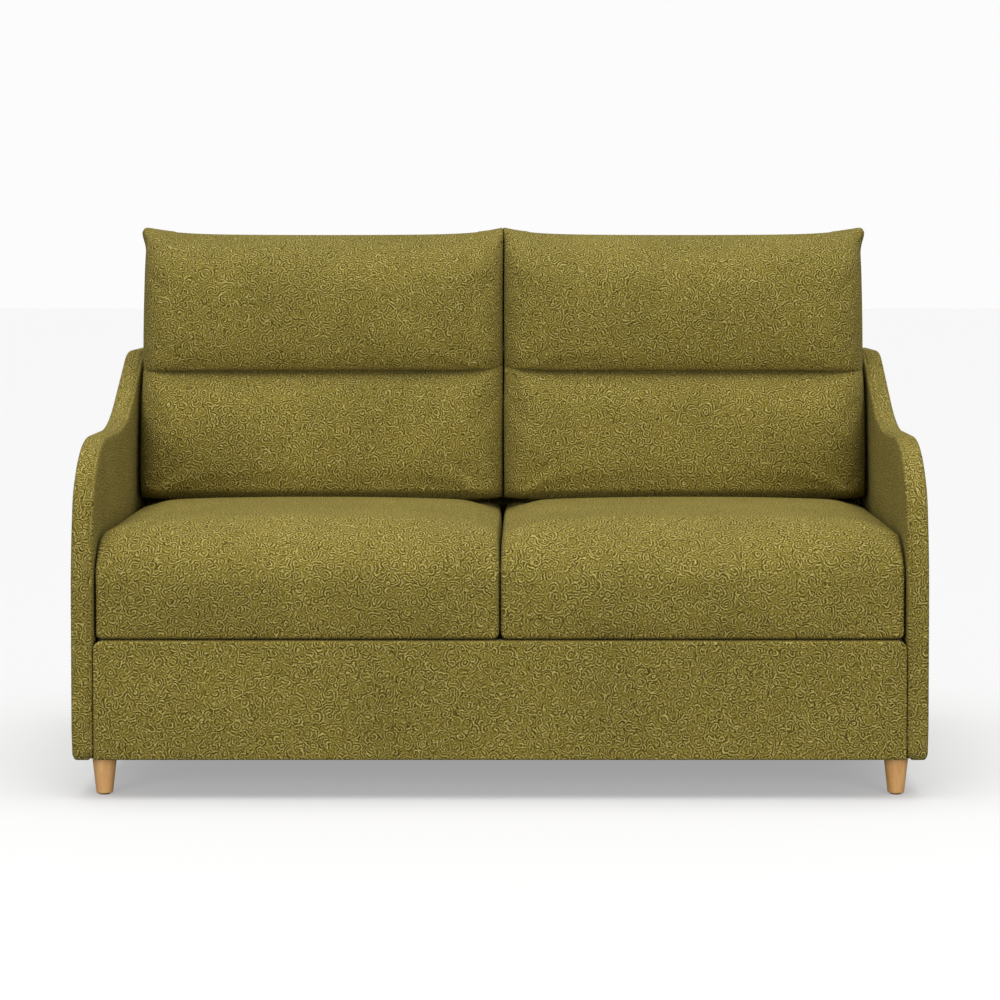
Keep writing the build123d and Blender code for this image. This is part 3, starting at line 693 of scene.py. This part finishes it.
@dataclass
class SeatCushion:
    """A loose seat cushion: a crowned foam block in one cover, rolled over at its front."""

    side: Side
    edge_height: float = 0.450
    shoulder: float = 0.025
    shoulder_width: float = 0.060
    crown: float = 0.005
    roll: float = 0.085
    corner: float = 0.012
    seam: float = 0.008  # the cover is held this near to its sewn edges
    square: float = 0.008  # size of the surface's squares
    zip_room: float = 8 * MM  # the rear stays ahead of the zip by this
    rest_start: float = 0.494  # how far behind the front the back cushion's place begins
    rest_full: float = 0.514
    rest_from: float = 0.5
    rest_height: float = 0.4725
    rest_fall: float = 0.062  # height lost for each metre towards the rear
    middle_press: float = 0.8 * MM  # how far it may bulge towards its neighbour
    arm_press: float = 1.5 * MM  # and towards the arm
    front_bulge: float = 9 * MM

    def shares(self, size: float) -> np.ndarray:
        """Places from -1 to 1 along an edge of the box, closer together near its ends."""
        even = np.linspace(-1, 1, int(size / self.square) + 1)
        return 0.6 * even + 0.4 * np.sin(math.pi / 2 * even)

    def box_grids(self, low: np.ndarray, high: np.ndarray) -> list[np.ndarray]:
        """The six faces of a box with round edges.

        A point on a plain box is pulled to the inner box that is smaller by the corner radius, then
        pushed out again by that radius along the direction between the two.
        """
        half, middle = (high - low) / 2, (high + low) / 2
        grids = []
        for axis in range(3):
            first, second = (axis + 1) % 3, (axis + 2) % 3
            a, b = np.meshgrid(self.shares(2 * half[first]), self.shares(2 * half[second]), indexing="ij")
            for sign in (-1.0, 1.0):
                unit = np.empty((*a.shape, 3))
                unit[..., axis] = sign
                unit[..., first] = a
                unit[..., second] = b
                plain = unit * half
                inner = np.clip(plain, -(half - self.corner), half - self.corner)
                away = plain - inner
                away /= np.linalg.norm(away, axis=-1, keepdims=True)
                grids.append(middle + inner + away * self.corner)
        return grids

    def top_height(self, x: np.ndarray, back: np.ndarray, low: np.ndarray, high: np.ndarray) -> np.ndarray:
        """Height of the top: a quarter ellipse up from each side, a low crown and a roll at the front."""
        to_side = np.minimum(x - low[0], high[0] - x)
        in_share = np.clip(to_side / self.shoulder_width, 0, 1)
        across = np.clip((x - low[0]) / (high[0] - low[0]) * 2 - 1, -1, 1)
        swell = self.shoulder * np.sqrt(1 - (1 - in_share) ** 2) + self.crown * (1 - across**2)
        flat = smooth_step(back, self.rest_start, self.rest_full)
        slope = self.rest_height - self.rest_fall * (back - self.rest_from)
        slope = np.minimum(slope, self.edge_height + swell)
        top = (self.edge_height + swell) * (1 - flat) + slope * flat
        depth = np.clip(self.roll - back, 0, self.roll)
        return top - self.roll + np.sqrt(self.roll**2 - depth**2)

    def sewn(self, points: np.ndarray, low: np.ndarray, high: np.ndarray) -> np.ndarray:
        """Which points a seam holds: the edges of both side panels, the bottom and the rear."""
        to_side = np.minimum(points[:, 0] - low[0], high[0] - points[:, 0])
        to_front = points[:, 1] - low[1]
        to_bottom = points[:, 2] - low[2]
        to_top = self.top_height(points[:, 0], to_front, low, high) - points[:, 2]
        near_rim = np.minimum(np.minimum(to_front, to_bottom), to_top) < self.seam
        corner = (to_bottom < self.seam) & (to_front < self.seam)
        flat = (to_bottom < 3 * MM) | (points[:, 1] > high[1] - 3 * MM)
        return ((to_side < self.seam) & near_rim) | corner | flat

    def build(
        self, material: bpy.types.Material, foam: bpy.types.Material, stuffing: Stuffing
    ) -> bpy.types.Object:
        """Makes the cushion in place of its plain solid.

        Args:
            material: the upholstery.
            foam: the core's finish.
            stuffing: how it is blown up.

        Returns:
            The finished cushion.
        """
        body = f"seat_cushion_{self.side.word}"
        low, high = (np.array(corner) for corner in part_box(f"{body}_cover"))
        high = np.array([high[0], high[1] - self.zip_room, self.edge_height])
        grids = []
        for grid in self.box_grids(low, high):
            rise = (grid[..., 2] - low[2]) / (high[2] - low[2])
            top = self.top_height(grid[..., 0], grid[..., 1] - low[1], low, high)
            grid[..., 2] = low[2] + rise * (top - low[2])
            grids.append(grid)
        piece = mesh_from_grids(f"{body}_soft", grids)
        stuffing.swell(piece, self.sewn(coordinates(piece.data), low, high))
        self.settle(piece, low, high)
        core = filling(piece, f"{body}_core_soft", 0.0, 2 * self.edge_height)
        stand_in(core, foam, body, f"{body}_core")
        subdivide(piece)
        stand_in(piece, material, body, f"{body}_cover")
        return piece

    def settle(self, piece: bpy.types.Object, low: np.ndarray, high: np.ndarray) -> None:
        """Presses the cushion against the deck, its neighbours and the cushion on its rear part."""
        points = coordinates(piece.data)
        to_left, to_right = self.arm_press, self.middle_press
        if self.side is Side.RIGHT:
            to_left, to_right = to_right, to_left
        points[:, 0] = np.clip(points[:, 0], low[0] - to_left, high[0] + to_right)
        points[:, 2] = np.maximum(points[:, 2], low[2] - 0.6 * MM)
        points[:, 1] = np.clip(points[:, 1], low[1] - self.front_bulge, high[1])
        slack = ripple(points[:, 0], points[:, 1], 11 + self.side.value, reach=18.0)
        ahead = 1 - smooth_step(points[:, 1], FRONT + 0.40, FRONT + 0.46)
        lift = smooth_step(points[:, 2], 0.40, 0.46) * ahead
        points[:, 2] += 1.2 * MM * slack * lift
        behind = points[:, 1] - FRONT - self.rest_from
        lip = 12 * MM * (1 - smooth_step(behind, 0.0, 12 * MM))
        ceiling = self.rest_height + 1 * MM - self.rest_fall * behind + lip
        points[:, 2] = np.where(behind > 0, np.minimum(points[:, 2], ceiling), points[:, 2])
        move_points(piece.data, points)


@dataclass
class BackCushion:
    """A loose back cushion: two panels sewn together at the edge and across, with soft ears."""

    side: Side
    bottom: float = 0.4765
    sag: float = 0.9925
    ear_rise: float = 0.0145
    ear_round: float = 0.009
    outer_edge: float = 0.7095
    overlap: float = 0.006  # how far it would reach past the sofa's middle if its neighbour let it
    inner_gap: float = 0.0006
    behind_gap: float = 0.0055  # between it and the covered back of the sofa
    dent: float = 0.0022  # how deep the two cushions press into each other in turn
    ear_out: float = 0.0075
    channel: float = 0.7255
    channel_depth: float = 0.040
    lower_thick: float = 0.190
    upper_thick: float = 0.186
    belly: float = 0.018
    seam_depth: float = 0.086  # how far ahead of the back the edge seam lies
    side_round: float = 0.060  # radii of the quarter rounds at its edges
    top_round: float = 0.085
    base_round: float = 0.022
    channel_rise: float = 0.010  # how far the channel is drawn up at the sofa's middle
    channel_reach: float = 0.035
    valley_under: float = 0.014  # how fast the valley of the channel fills out below it
    valley_over: float = 0.012  # and above it
    valley_end: float = 0.35  # share of the valley's depth that is left at the side seam
    clear_height: float = 0.78  # above this it is clear of the arms and of the sofa's back
    ear_flat: float = 0.005  # width of the ear's level tip
    ear_reach: float = 0.055  # how far in from the side the top edge rises to the ear
    ear_height: float = 0.022
    knob: float = 0.009  # how much the ear's tip thickens, to the front and to the rear
    knob_size: float = 0.020
    rear_bulge: float = 0.012  # above the sofa's back, where the rear panel is free
    hang: float = 0.010  # how far the upper chamber hangs over the channel
    hang_start: float = 0.016  # how far above the channel it begins in full
    hang_reach: float = 0.04
    close_over: float = 0.010  # how far the filling closes the channel from above
    close_under: float = 0.005  # and from below
    gather_reach: float = 0.045
    gather: float = 0.0035  # height of the folds that run out from the channel's inner end
    slack: float = 0.0022  # height of the cover's soft waves
    clear_of_arm: float = 0.7105
    columns: int = 100
    rows: int = 44  # in each chamber

    @property
    def half_width(self) -> float:
        """Half the cushion's width before it presses against its neighbour."""
        return (self.outer_edge + self.overlap) / 2

    def centre(self) -> float:
        """X of the cushion's middle."""
        return self.side.value * (self.half_width - self.overlap)

    def rear_plane(self, z: np.ndarray) -> np.ndarray:
        """Y of the cushion's rear at a height: it leans on the raked back."""
        low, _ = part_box("back_foam")
        return low[1] - CLOTH + (z - low[2]) * math.tan(RAKE) - self.behind_gap

    def fullness(self, x_in: np.ndarray, z_top: np.ndarray, z: np.ndarray) -> np.ndarray:
        """How far the two panels have parted: nothing at the seam, then a quarter round.

        Args:
            x_in: distance in from the side seam.
            z_top: distance down from the top seam.
            z: height.

        Returns:
            0 at the seam and 1 where the cushion is full.
        """
        def round_off(distance: np.ndarray, radius: float) -> np.ndarray:
            """A quarter circle as a share of its radius."""
            return np.sqrt(np.clip(1 - (1 - np.clip(distance / radius, 0, 1)) ** 2, 0, 1))

        sides = round_off(x_in, self.side_round)
        top = round_off(z_top, self.top_round)
        base = round_off(z - self.bottom, self.base_round)
        return sides * top * base

    def channel_height(self, x: np.ndarray) -> np.ndarray:
        """Height of the sewn channel: level, and drawn up a little at the sofa's middle."""
        return self.channel + self.channel_rise * np.exp(-np.abs(x) / self.channel_reach)

    def sheet(self, front: bool) -> np.ndarray:
        """One panel of the cover as a grid over width and height.

        The rear panel lies on the raked back. The front panel stands off it by the thickness of
        its chamber, less a sharp valley at the sewn channel.
        """
        even = np.linspace(-1, 1, self.columns)
        u = 0.6 * even + 0.4 * np.sin(math.pi / 2 * even)
        step = np.linspace(0, 1, self.rows)
        step = 0.5 * step + 0.25 * (1 - np.cos(math.pi * step))
        w = np.concatenate([step, 1 + step[1:]])
        u, w = np.meshgrid(u, w, indexing="ij")
        from_side = self.half_width * (1 - np.abs(u))
        rise = np.exp(-np.maximum(from_side - self.ear_flat, 0) / self.ear_reach)
        bend = np.maximum(self.ear_round - from_side, 0)
        top = self.sag + self.ear_rise * rise - self.ear_round + np.sqrt(self.ear_round**2 - bend**2)
        plain_x = self.centre() + u * self.half_width
        line = self.channel_height(plain_x)
        z = self.bottom + np.minimum(w, 1) * (line - self.bottom) + np.maximum(w - 1, 0) * (top - line)
        down = top - z
        outer = np.sign(u) == self.side.value
        ear = self.ear_out * np.exp(-((down / self.ear_height) ** 2))
        ear = ear * smooth_step(np.abs(u), 0.9, 1.0) * outer
        x = plain_x + np.sign(u) * ear
        full = self.fullness(from_side, down, z)
        off_tip = (from_side / self.knob_size) ** 2 + ((down - 0.5 * self.knob_size) / self.knob_size) ** 2
        knob = self.knob * np.exp(-off_tip)
        if not front:
            free = smooth_step(z, self.clear_height, 0.95)
            depth = self.seam_depth * (1 - full) - self.rear_bulge * full * free - knob
            return np.stack([x, self.rear_plane(z) - depth, z], axis=-1)
        lower_share = np.clip((z - self.bottom) / (line - self.bottom) * 2 - 1, -1, 1)
        upper_share = np.clip((z - line) / (top - line) * 2 - 1, -1, 1)
        is_low = w < 1
        belly = self.belly * np.where(is_low, 1 - lower_share**2, 1 - upper_share**2)
        thick = np.where(is_low, self.lower_thick, self.upper_thick) + belly
        gap = z - line
        valley = np.where(is_low, np.exp(gap / self.valley_under), np.exp(-gap / self.valley_over))
        into = smooth_step(from_side, 0.0, 0.10)
        thick = thick - self.channel_depth * valley * (self.valley_end + (1 - self.valley_end) * into)
        depth = self.seam_depth + (thick - self.seam_depth) * full + knob
        drop = self.hang * np.where(is_low, 0, np.exp(-gap / self.hang_reach)) * full
        drop = drop * smooth_step(gap, 0.0, self.hang_start)
        return np.stack([x, self.rear_plane(z) - depth, z - drop], axis=-1)

    def build(
        self, material: bpy.types.Material, foam: bpy.types.Material, stuffing: Stuffing
    ) -> bpy.types.Object:
        """Makes the cushion in place of its plain solid.

        Args:
            material: the upholstery.
            foam: the cores' finish.
            stuffing: how it is blown up.

        Returns:
            The finished cushion.
        """
        body = f"back_cushion_{self.side.word}"
        piece = mesh_from_grids(f"{body}_soft", [self.sheet(True), self.sheet(False)])
        points = coordinates(piece.data)
        depth = self.rear_plane(points[:, 2]) - points[:, 1]
        edge = self.half_width - np.abs(points[:, 0] - self.centre())
        from_channel = np.abs(points[:, 2] - self.channel_height(points[:, 0]))
        on_channel = (from_channel < 3 * MM) & (depth > 0.1)
        held = ((points[:, 2] < self.bottom + 4 * MM) & (depth < 0.12)) | on_channel
        held |= (edge < 4 * MM) | (points[:, 2] > self.sag - 3 * MM)
        stuffing.swell(piece, held)
        self.settle(piece)
        chambers = (("lower", 0.0, self.channel - 4 * MM), ("upper", self.channel + 4 * MM, 2 * self.sag))
        for level, above, below in chambers:
            core = filling(piece, f"{body}_{level}_core_soft", above, below)
            stand_in(core, foam, body, f"{body}_{level}_core")
        subdivide(piece)
        stand_in(piece, material, body, f"{body}_cover")
        return piece

    def settle(self, piece: bpy.types.Object) -> None:
        """Draws gathers at the channel's ends and presses the cushion on what it rests on."""
        points = coordinates(piece.data)
        depth = self.rear_plane(points[:, 2]) - points[:, 1]
        front = smooth_step(depth, 0.07, 0.12)
        across = np.abs(points[:, 0]) - 0.012
        up = points[:, 2] - self.channel_height(points[:, 0])
        reach = np.hypot(across, up)
        fold = np.sin(7 * np.arctan2(up, across) + 0.6) * np.exp(-reach / self.gather_reach)
        fold = fold * smooth_step(reach, 0.0, 0.02)
        slack = ripple(points[:, 0], points[:, 2], 31 + self.side.value, reach=30.0)
        over, under = np.maximum(up, 0), np.maximum(-up, 0)
        points[:, 2] -= front * self.close_over * over / (over + 0.009) * np.exp(-over / 0.09)
        points[:, 2] += front * self.close_under * under / (under + 0.005) * np.exp(-under / 0.06)
        points[:, 1] -= front * (self.gather * fold + self.slack * slack)
        points[:, 2] = np.maximum(points[:, 2], self.bottom - 0.8 * MM)
        outward = self.side.value * points[:, 0]
        arm = np.where(points[:, 2] < self.clear_height, self.clear_of_arm, 1.0)
        touch = self.inner_gap + self.side.value * self.dent * np.sin(2 * math.pi * depth / 0.1)
        points[:, 0] = self.side.value * np.clip(outward, touch, arm)
        limit = self.rear_plane(points[:, 2]) + 1.0 * MM
        leans = points[:, 2] < self.clear_height + 10 * MM
        points[:, 1] = np.where(leans, np.minimum(points[:, 1], limit), points[:, 1])
        move_points(piece.data, points)


@dataclass
class PaddedSlab:
    """A board wrapped in foam and cloth: a flat outline with soft edges and a seam along one edge.

    The outline lies in one plane and is carried across it. Each edge is a quarter round. The seam is
    a narrow valley, whose depth follows a bell curve of the distance from its line.
    """

    name: str
    upper: np.ndarray
    lower: np.ndarray
    start: float
    end: float
    edge: float
    low_edge: float
    seam_at: float | None = None
    seam_deep: float = 0.0032
    seam_wide: float = 0.0018
    puff: float = 0.0012
    rows: int = 30

    def profile(self) -> tuple[np.ndarray, np.ndarray]:
        """Place across the slab and inset from the outline, from one face to the other."""
        turn = np.linspace(0, math.pi / 2, 9)
        near = np.stack([self.edge * (1 - np.cos(turn)), self.edge * (1 - np.sin(turn))], axis=1)
        flat = np.linspace(self.edge, self.end - self.start - self.edge, 44)[1:-1]
        far = near[::-1] * np.array([-1, 1]) + np.array([self.end - self.start, 0])
        across = np.concatenate([near[:, 0], flat, far[:, 0]])
        inset = np.concatenate([near[:, 1], np.zeros_like(flat), far[:, 1]])
        if self.seam_at is not None:
            inset = inset + self.seam_deep * np.exp(-(((across - self.seam_at) / self.seam_wide) ** 2))
        return across + self.start, inset

    def build(self, plane: "SlabPlane") -> bpy.types.Object:
        """Makes the slab's surface: an edge band round the outline and two ruled faces.

        Args:
            plane: the plane that the outline lies in.

        Returns:
            The slab.
        """
        outline = np.concatenate([self.upper, self.lower[::-1][1:]])
        ahead, behind = np.roll(outline, -1, axis=0), np.roll(outline, 1, axis=0)
        ahead[-1], behind[0] = outline[1], outline[-2]
        along = ahead - behind
        along /= np.linalg.norm(along, axis=1, keepdims=True)
        inward = np.stack([along[:, 1], -along[:, 0]], axis=1)
        across, inset = self.profile()
        foot = self.lower[:, 1].min()
        lowness = 1 - smooth_step(outline[:, 1], foot + 0.01, foot + 0.06)
        swell = 1 + lowness[:, None] * (self.low_edge / self.edge - 1) * (across[None, :] > across.mean())
        band = outline[:, None, :] + inward[:, None, :] * (inset[None, :] * swell)[..., None]
        place = np.broadcast_to(across, band.shape[:2])
        grids = [plane.place(band, place)]
        count = len(self.upper)
        share = np.linspace(0, 1, self.rows)[None, :, None]
        for column, sign in ((0, -1), (-1, 1)):
            rim = band[:, column]
            top, bottom = rim[:count], rim[count - 1 :][::-1]
            face = top[:, None, :] * (1 - share) + bottom[:, None, :] * share
            bulge = self.puff * 4 * share[..., 0] * (1 - share[..., 0])
            bulge = bulge * np.sin(math.pi * np.linspace(0, 1, count))[:, None] ** 0.5
            grids.append(plane.place(face, across[column] + sign * bulge))
        return mesh_from_grids(self.name, grids)


class SlabPlane(Enum):
    """The plane that a slab's outline lies in."""

    ARM = "outline over Y and Z, carried along X"
    PANEL = "outline over X and Z, carried along Y"

    def place(self, flat: np.ndarray, across: np.ndarray) -> np.ndarray:
        """Puts outline points and their place across the slab into space."""
        if self is SlabPlane.ARM:
            return np.stack([across, flat[..., 0], flat[..., 1]], axis=-1)
        return np.stack([flat[..., 0], across, flat[..., 1]], axis=-1)


@dataclass
class Arm:
    """An arm: round front shoulder, low flat, rising curve and high flat, with a seam inside."""

    side: Side
    edge: float = 0.009
    low_edge: float = 0.017
    shoulder: tuple = ((0.0, 0.422), (0.029, 0.539), (0.116, 0.626), (0.438, 0.626), (0.696, 0.761))
    rounds: tuple = (0.64, 0.112, 0.19, 0.40, 0.12)

    def build(self, material: bpy.types.Material) -> bpy.types.Object:
        """Makes the arm's cover in place of its plain one.

        Args:
            material: the upholstery.

        Returns:
            The finished cover.
        """
        node = f"arm_cover_{self.side.word}"
        low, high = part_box(node)
        inner, outer = low[0], high[0]
        if self.side is Side.LEFT:
            inner, outer = -high[0], -low[0]
        bottom, rear = low[2], high[1]
        corners = [(FRONT + 0.045, bottom), (FRONT, bottom)]
        corners += [(FRONT + t, z) for t, z in self.shoulder]
        corners += [(rear, high[2]), (rear, bottom), (rear - 0.045, bottom)]
        upper = rounded_path(corners, [0.014, *self.rounds, 0.02, 0.012], 0.006)
        lower = resampled(np.array([corners[0], corners[-1]]), len(upper))
        slab = PaddedSlab(
            f"{node}_soft", upper, lower, inner, outer, self.edge, self.low_edge, seam_at=6 * MM
        )
        piece = slab.build(SlabPlane.ARM)
        points = coordinates(piece.data)
        on_face = points[:, 0] < inner + 4 * MM
        points[:, 0] += 0.8 * MM * ripple(points[:, 1], points[:, 2], 51, reach=22.0) * on_face
        points[:, 0] = np.maximum(points[:, 0], inner - 0.4 * MM)
        if self.side is Side.LEFT:
            points[:, 0] *= -1
            piece.data.flip_normals()
        move_points(piece.data, points)
        stand_in(piece, material, "frame", node)
        return piece


@dataclass
class Apron:
    """The covered front rail under the seat cushions, with round top corners."""

    corner: float = 0.014
    edge: float = 0.004

    def build(self, material: bpy.types.Material) -> bpy.types.Object:
        """Makes the apron's cover in place of its plain one.

        Args:
            material: the upholstery.

        Returns:
            The finished cover.
        """
        low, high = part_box("apron_cover")
        inward = 0.03
        corners = [(low[0] + inward, low[2]), (low[0], low[2]), (low[0], high[2]), (high[0], high[2]),
                   (high[0], low[2]), (high[0] - inward, low[2])]
        upper = rounded_path(corners, [0.004, self.corner, self.corner, 0.004], 0.005)
        lower = resampled(np.array([corners[0], corners[-1]]), len(upper))
        slab = PaddedSlab(
            "apron_cover_soft", upper, lower, low[1], high[1], self.edge, self.edge, puff=0.0016
        )
        piece = slab.build(SlabPlane.PANEL)
        stand_in(piece, material, "frame", "apron_cover")
        return piece


@dataclass
class StretchedCloth:
    """Cloth pulled tight over part of the sofa and stapled: a strip of even thickness.

    The outer line over Y and Z and the same line moved in by the thickness are both carried along X.
    Low waves, which die out towards the stapled ends, keep the outer face from being a perfect plane.
    """

    node: str
    over: str
    slot: str = "upholstery"
    thickness: float = CLOTH
    wave: float = 0.3 * MM
    tail: float = 13 * MM  # how far the raked cloth hangs down behind the top rail
    thin: float = 10 * MM  # a box thinner than this is a flat cloth's
    columns: int = 120

    def line(self, low: np.ndarray, high: np.ndarray, inset: float) -> np.ndarray:
        """The cloth's line over Y and Z, moved in by an inset.

        Args:
            low: the box's low corner.
            high: the box's high corner.
            inset: how far in from the outer face.

        Returns:
            The points of the line.
        """
        if high[1] - low[1] < self.thin:
            behind = high[1] - inset
            return resampled(np.array([(behind, low[2]), (behind, high[2])]), 90)
        if high[2] - low[2] < self.thin:
            top = high[2] - inset
            return resampled(np.array([(low[1], top), (high[1], top)]), 90)
        top, front, behind = high[2] - inset, low[1] + inset, high[1] - inset
        lean = (top - low[2]) * math.tan(RAKE)
        corners = [(front, low[2]), (front + lean, top), (behind, top), (behind, high[2] - self.tail)]
        return resampled(rounded_path(corners, [0.012 - inset, 0.008 - inset], 0.003), 150)

    def build(self, material: bpy.types.Material) -> bpy.types.Object:
        """Makes the cloth in place of its plain one.

        Args:
            material: the cloth's finish.

        Returns:
            The finished sheet.
        """
        low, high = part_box(self.node)
        outer_line, inner_line = self.line(low, high, 0.0), self.line(low, high, self.thickness)
        across = np.linspace(low[0], high[0], self.columns)
        rows = len(outer_line)
        faces = []
        for line in (outer_line, inner_line):
            face = np.empty((rows, self.columns, 3))
            face[..., 0], face[..., 1], face[..., 2] = across[None, :], line[:, :1], line[:, 1:]
            faces.append(face)
        outer, inner = faces
        share = np.linspace(0, 1, rows)[:, None]
        calm = np.sin(math.pi * share) * np.sin(math.pi * np.linspace(0, 1, self.columns))[None, :]
        inward = inner - outer
        inward /= np.linalg.norm(inward, axis=-1, keepdims=True)
        depth = self.wave * calm * (0.5 + 0.5 * ripple(outer[..., 0], outer[..., 2], 77, reach=12.0))
        outer = outer + inward * np.clip(depth, 0, 0.5 * self.thickness)[..., None]
        rims = [np.stack([outer[0], inner[0]]), np.stack([outer[-1], inner[-1]]),
                np.stack([outer[:, 0], inner[:, 0]]), np.stack([outer[:, -1], inner[:, -1]])]
        piece = mesh_from_grids(f"{self.node}_soft", [outer, inner, *rims])
        stand_in(piece, material, "frame", self.node)
        return piece


@dataclass
class Hardware:
    """The carried-over frame, springs, legs and fittings: each node gets its real finish."""

    finishes: dict[str, bpy.types.Material]

    def build(self) -> int:
        """Gives every node of the frame its finish.

        Returns:
            How many nodes were dressed.
        """
        for part in frame["record"]["subparts"]:
            node = frame["nodes"][part["node"]]
            node.data.materials.clear()
            node.data.materials.append(self.finishes[part["material_slot"]])
        return len(frame["record"]["subparts"])


@dataclass
class Studio:
    """A white studio: a lit pale floor, a very large soft light above and a long-lens camera."""

    lens: float = 100.5
    distance: float = 4.85
    eye_height: float = 0.963
    eye_side: float = 0.049
    shift: tuple[float, float] = (-0.028, -0.15)
    pitch: float = 2.07  # degrees downwards
    seen_white: float = 0.975
    ambient: float = 0.38
    overhead: float = 2.4
    fill_watts: float = 98.0
    fill_size: float = 2.4
    floor_glow: float = 0.33

    def floor(self) -> None:
        """A wide pale floor, lit from below as a product table is, and grey to all but the camera."""
        reach = np.linspace(-40, 40, 5)
        x, y = np.meshgrid(reach, reach, indexing="ij")
        piece = mesh_from_grids("studio_floor", [np.stack([x, y, np.zeros_like(x)], axis=-1)])
        material, tree, _ = new_material("matt_translucent_floor_panel")
        seen = add(tree, "ShaderNodeLightPath").outputs["Is Camera Ray"]
        colour = add(tree, "ShaderNodeMix", {"Factor": seen, "A": (0.12, 0.12, 0.12, 1),
                                             "B": (0.53, 0.53, 0.53, 1)}, data_type="RGBA")
        glow = add(tree, "ShaderNodeMath", {0: seen, 1: self.floor_glow}, operation="MULTIPLY")
        finish_surface(tree, {"Base Color": colour.outputs["Result"], "Roughness": 1.0,
                              "Specular IOR Level": 0.0, "Emission Color": (1, 1, 1, 1),
                              "Emission Strength": glow.outputs[0]})
        piece.data.materials.append(material)

    def light(self, name: str, kind: str, power: float, size: float, place: tuple, turn: tuple) -> None:
        """Adds one soft light.

        Args:
            name: the light's name.
            kind: SUN for even light from one side, AREA for a panel.
            power: watts of a panel, or strength of even light.
            size: side of a panel in metres, or angle of even light in radians.
            place: where it is.
            turn: its turn about X, Y and Z in degrees; unturned it shines down.
        """
        data = bpy.data.lights.new(name, kind)
        data.energy = power
        if kind == "SUN":
            data.angle = size
        else:
            data.size = size
        lamp = bpy.data.objects.new(name, data)
        bpy.context.scene.collection.objects.link(lamp)
        lamp.location = place
        lamp.rotation_euler = [math.radians(angle) for angle in turn]

    def camera(self) -> None:
        """A long lens at seat height, level but for a small tilt."""
        data = bpy.data.cameras.new("camera")
        data.sensor_width = 36.0
        data.lens = self.lens
        data.shift_x, data.shift_y = self.shift
        data.clip_end = 100.0
        eye = bpy.data.objects.new("camera", data)
        bpy.context.scene.collection.objects.link(eye)
        eye.location = (self.eye_side, FRONT - self.distance, self.eye_height)
        eye.rotation_euler = (math.radians(90 - self.pitch), 0, 0)
        bpy.context.scene.camera = eye

    def surround(self) -> None:
        """A white backdrop all round, dimmer as a source of light than it looks."""
        world = bpy.data.worlds.new("white_studio")
        world.use_nodes = True
        tree = world.node_tree
        tree.nodes.clear()
        seen = add(tree, "ShaderNodeLightPath").outputs["Is Camera Ray"]
        level = add(tree, "ShaderNodeMapRange", {"Value": seen, "To Min": self.ambient,
                                                 "To Max": self.seen_white})
        glow = add(tree, "ShaderNodeBackground", {"Color": (1, 1, 1, 1), "Strength": level.outputs[0]})
        add(tree, "ShaderNodeOutputWorld", {"Surface": glow.outputs[0]})
        bpy.context.scene.world = world

    def build(self) -> None:
        """Sets up the whole studio."""
        bpy.context.scene.view_settings.view_transform = "Standard"
        self.surround()
        self.floor()
        self.light("overhead", "SUN", self.overhead, math.radians(60), (0, 0, 4), (6, 0, 0))
        for side in Side:
            place = (2.7 * side.value, -4.9, 0.9)
            turn = (87, 0, 29 * side.value)
            self.light(f"fill_{side.word}", "AREA", self.fill_watts, self.fill_size, place, turn)
        self.camera()


def main() -> None:
    """Builds the sofa's looks, piece by piece."""
    logging.basicConfig(level=logging.INFO, format="%(message)s")
    Studio().build()
    finishes = sofa_finishes()
    boucle, foam = finishes["upholstery"], finishes["foam"]
    log.info("dressed %d nodes", Hardware(finishes).build())
    log.info("made %s", Apron().build(boucle).name)
    cloths = (
        StretchedCloth("inner_back_cover", "back_foam"),
        StretchedCloth("outer_back_cover", "back_board"),
        StretchedCloth("deck_cover", "deck_pad", "platform_cloth", thickness=1.2 * MM),
    )
    for cloth in cloths:
        log.info("made %s", cloth.build(finishes[cloth.slot]).name)
    seat_stuffing = Stuffing()
    back_stuffing = Stuffing(cap=5 * MM)
    for side in Side:
        log.info("made %s", Arm(side).build(boucle).name)
        log.info("made %s", SeatCushion(side).build(boucle, foam, seat_stuffing).name)
        log.info("made %s", BackCushion(side).build(boucle, foam, back_stuffing).name)


if __name__ == "__main__":
    main()
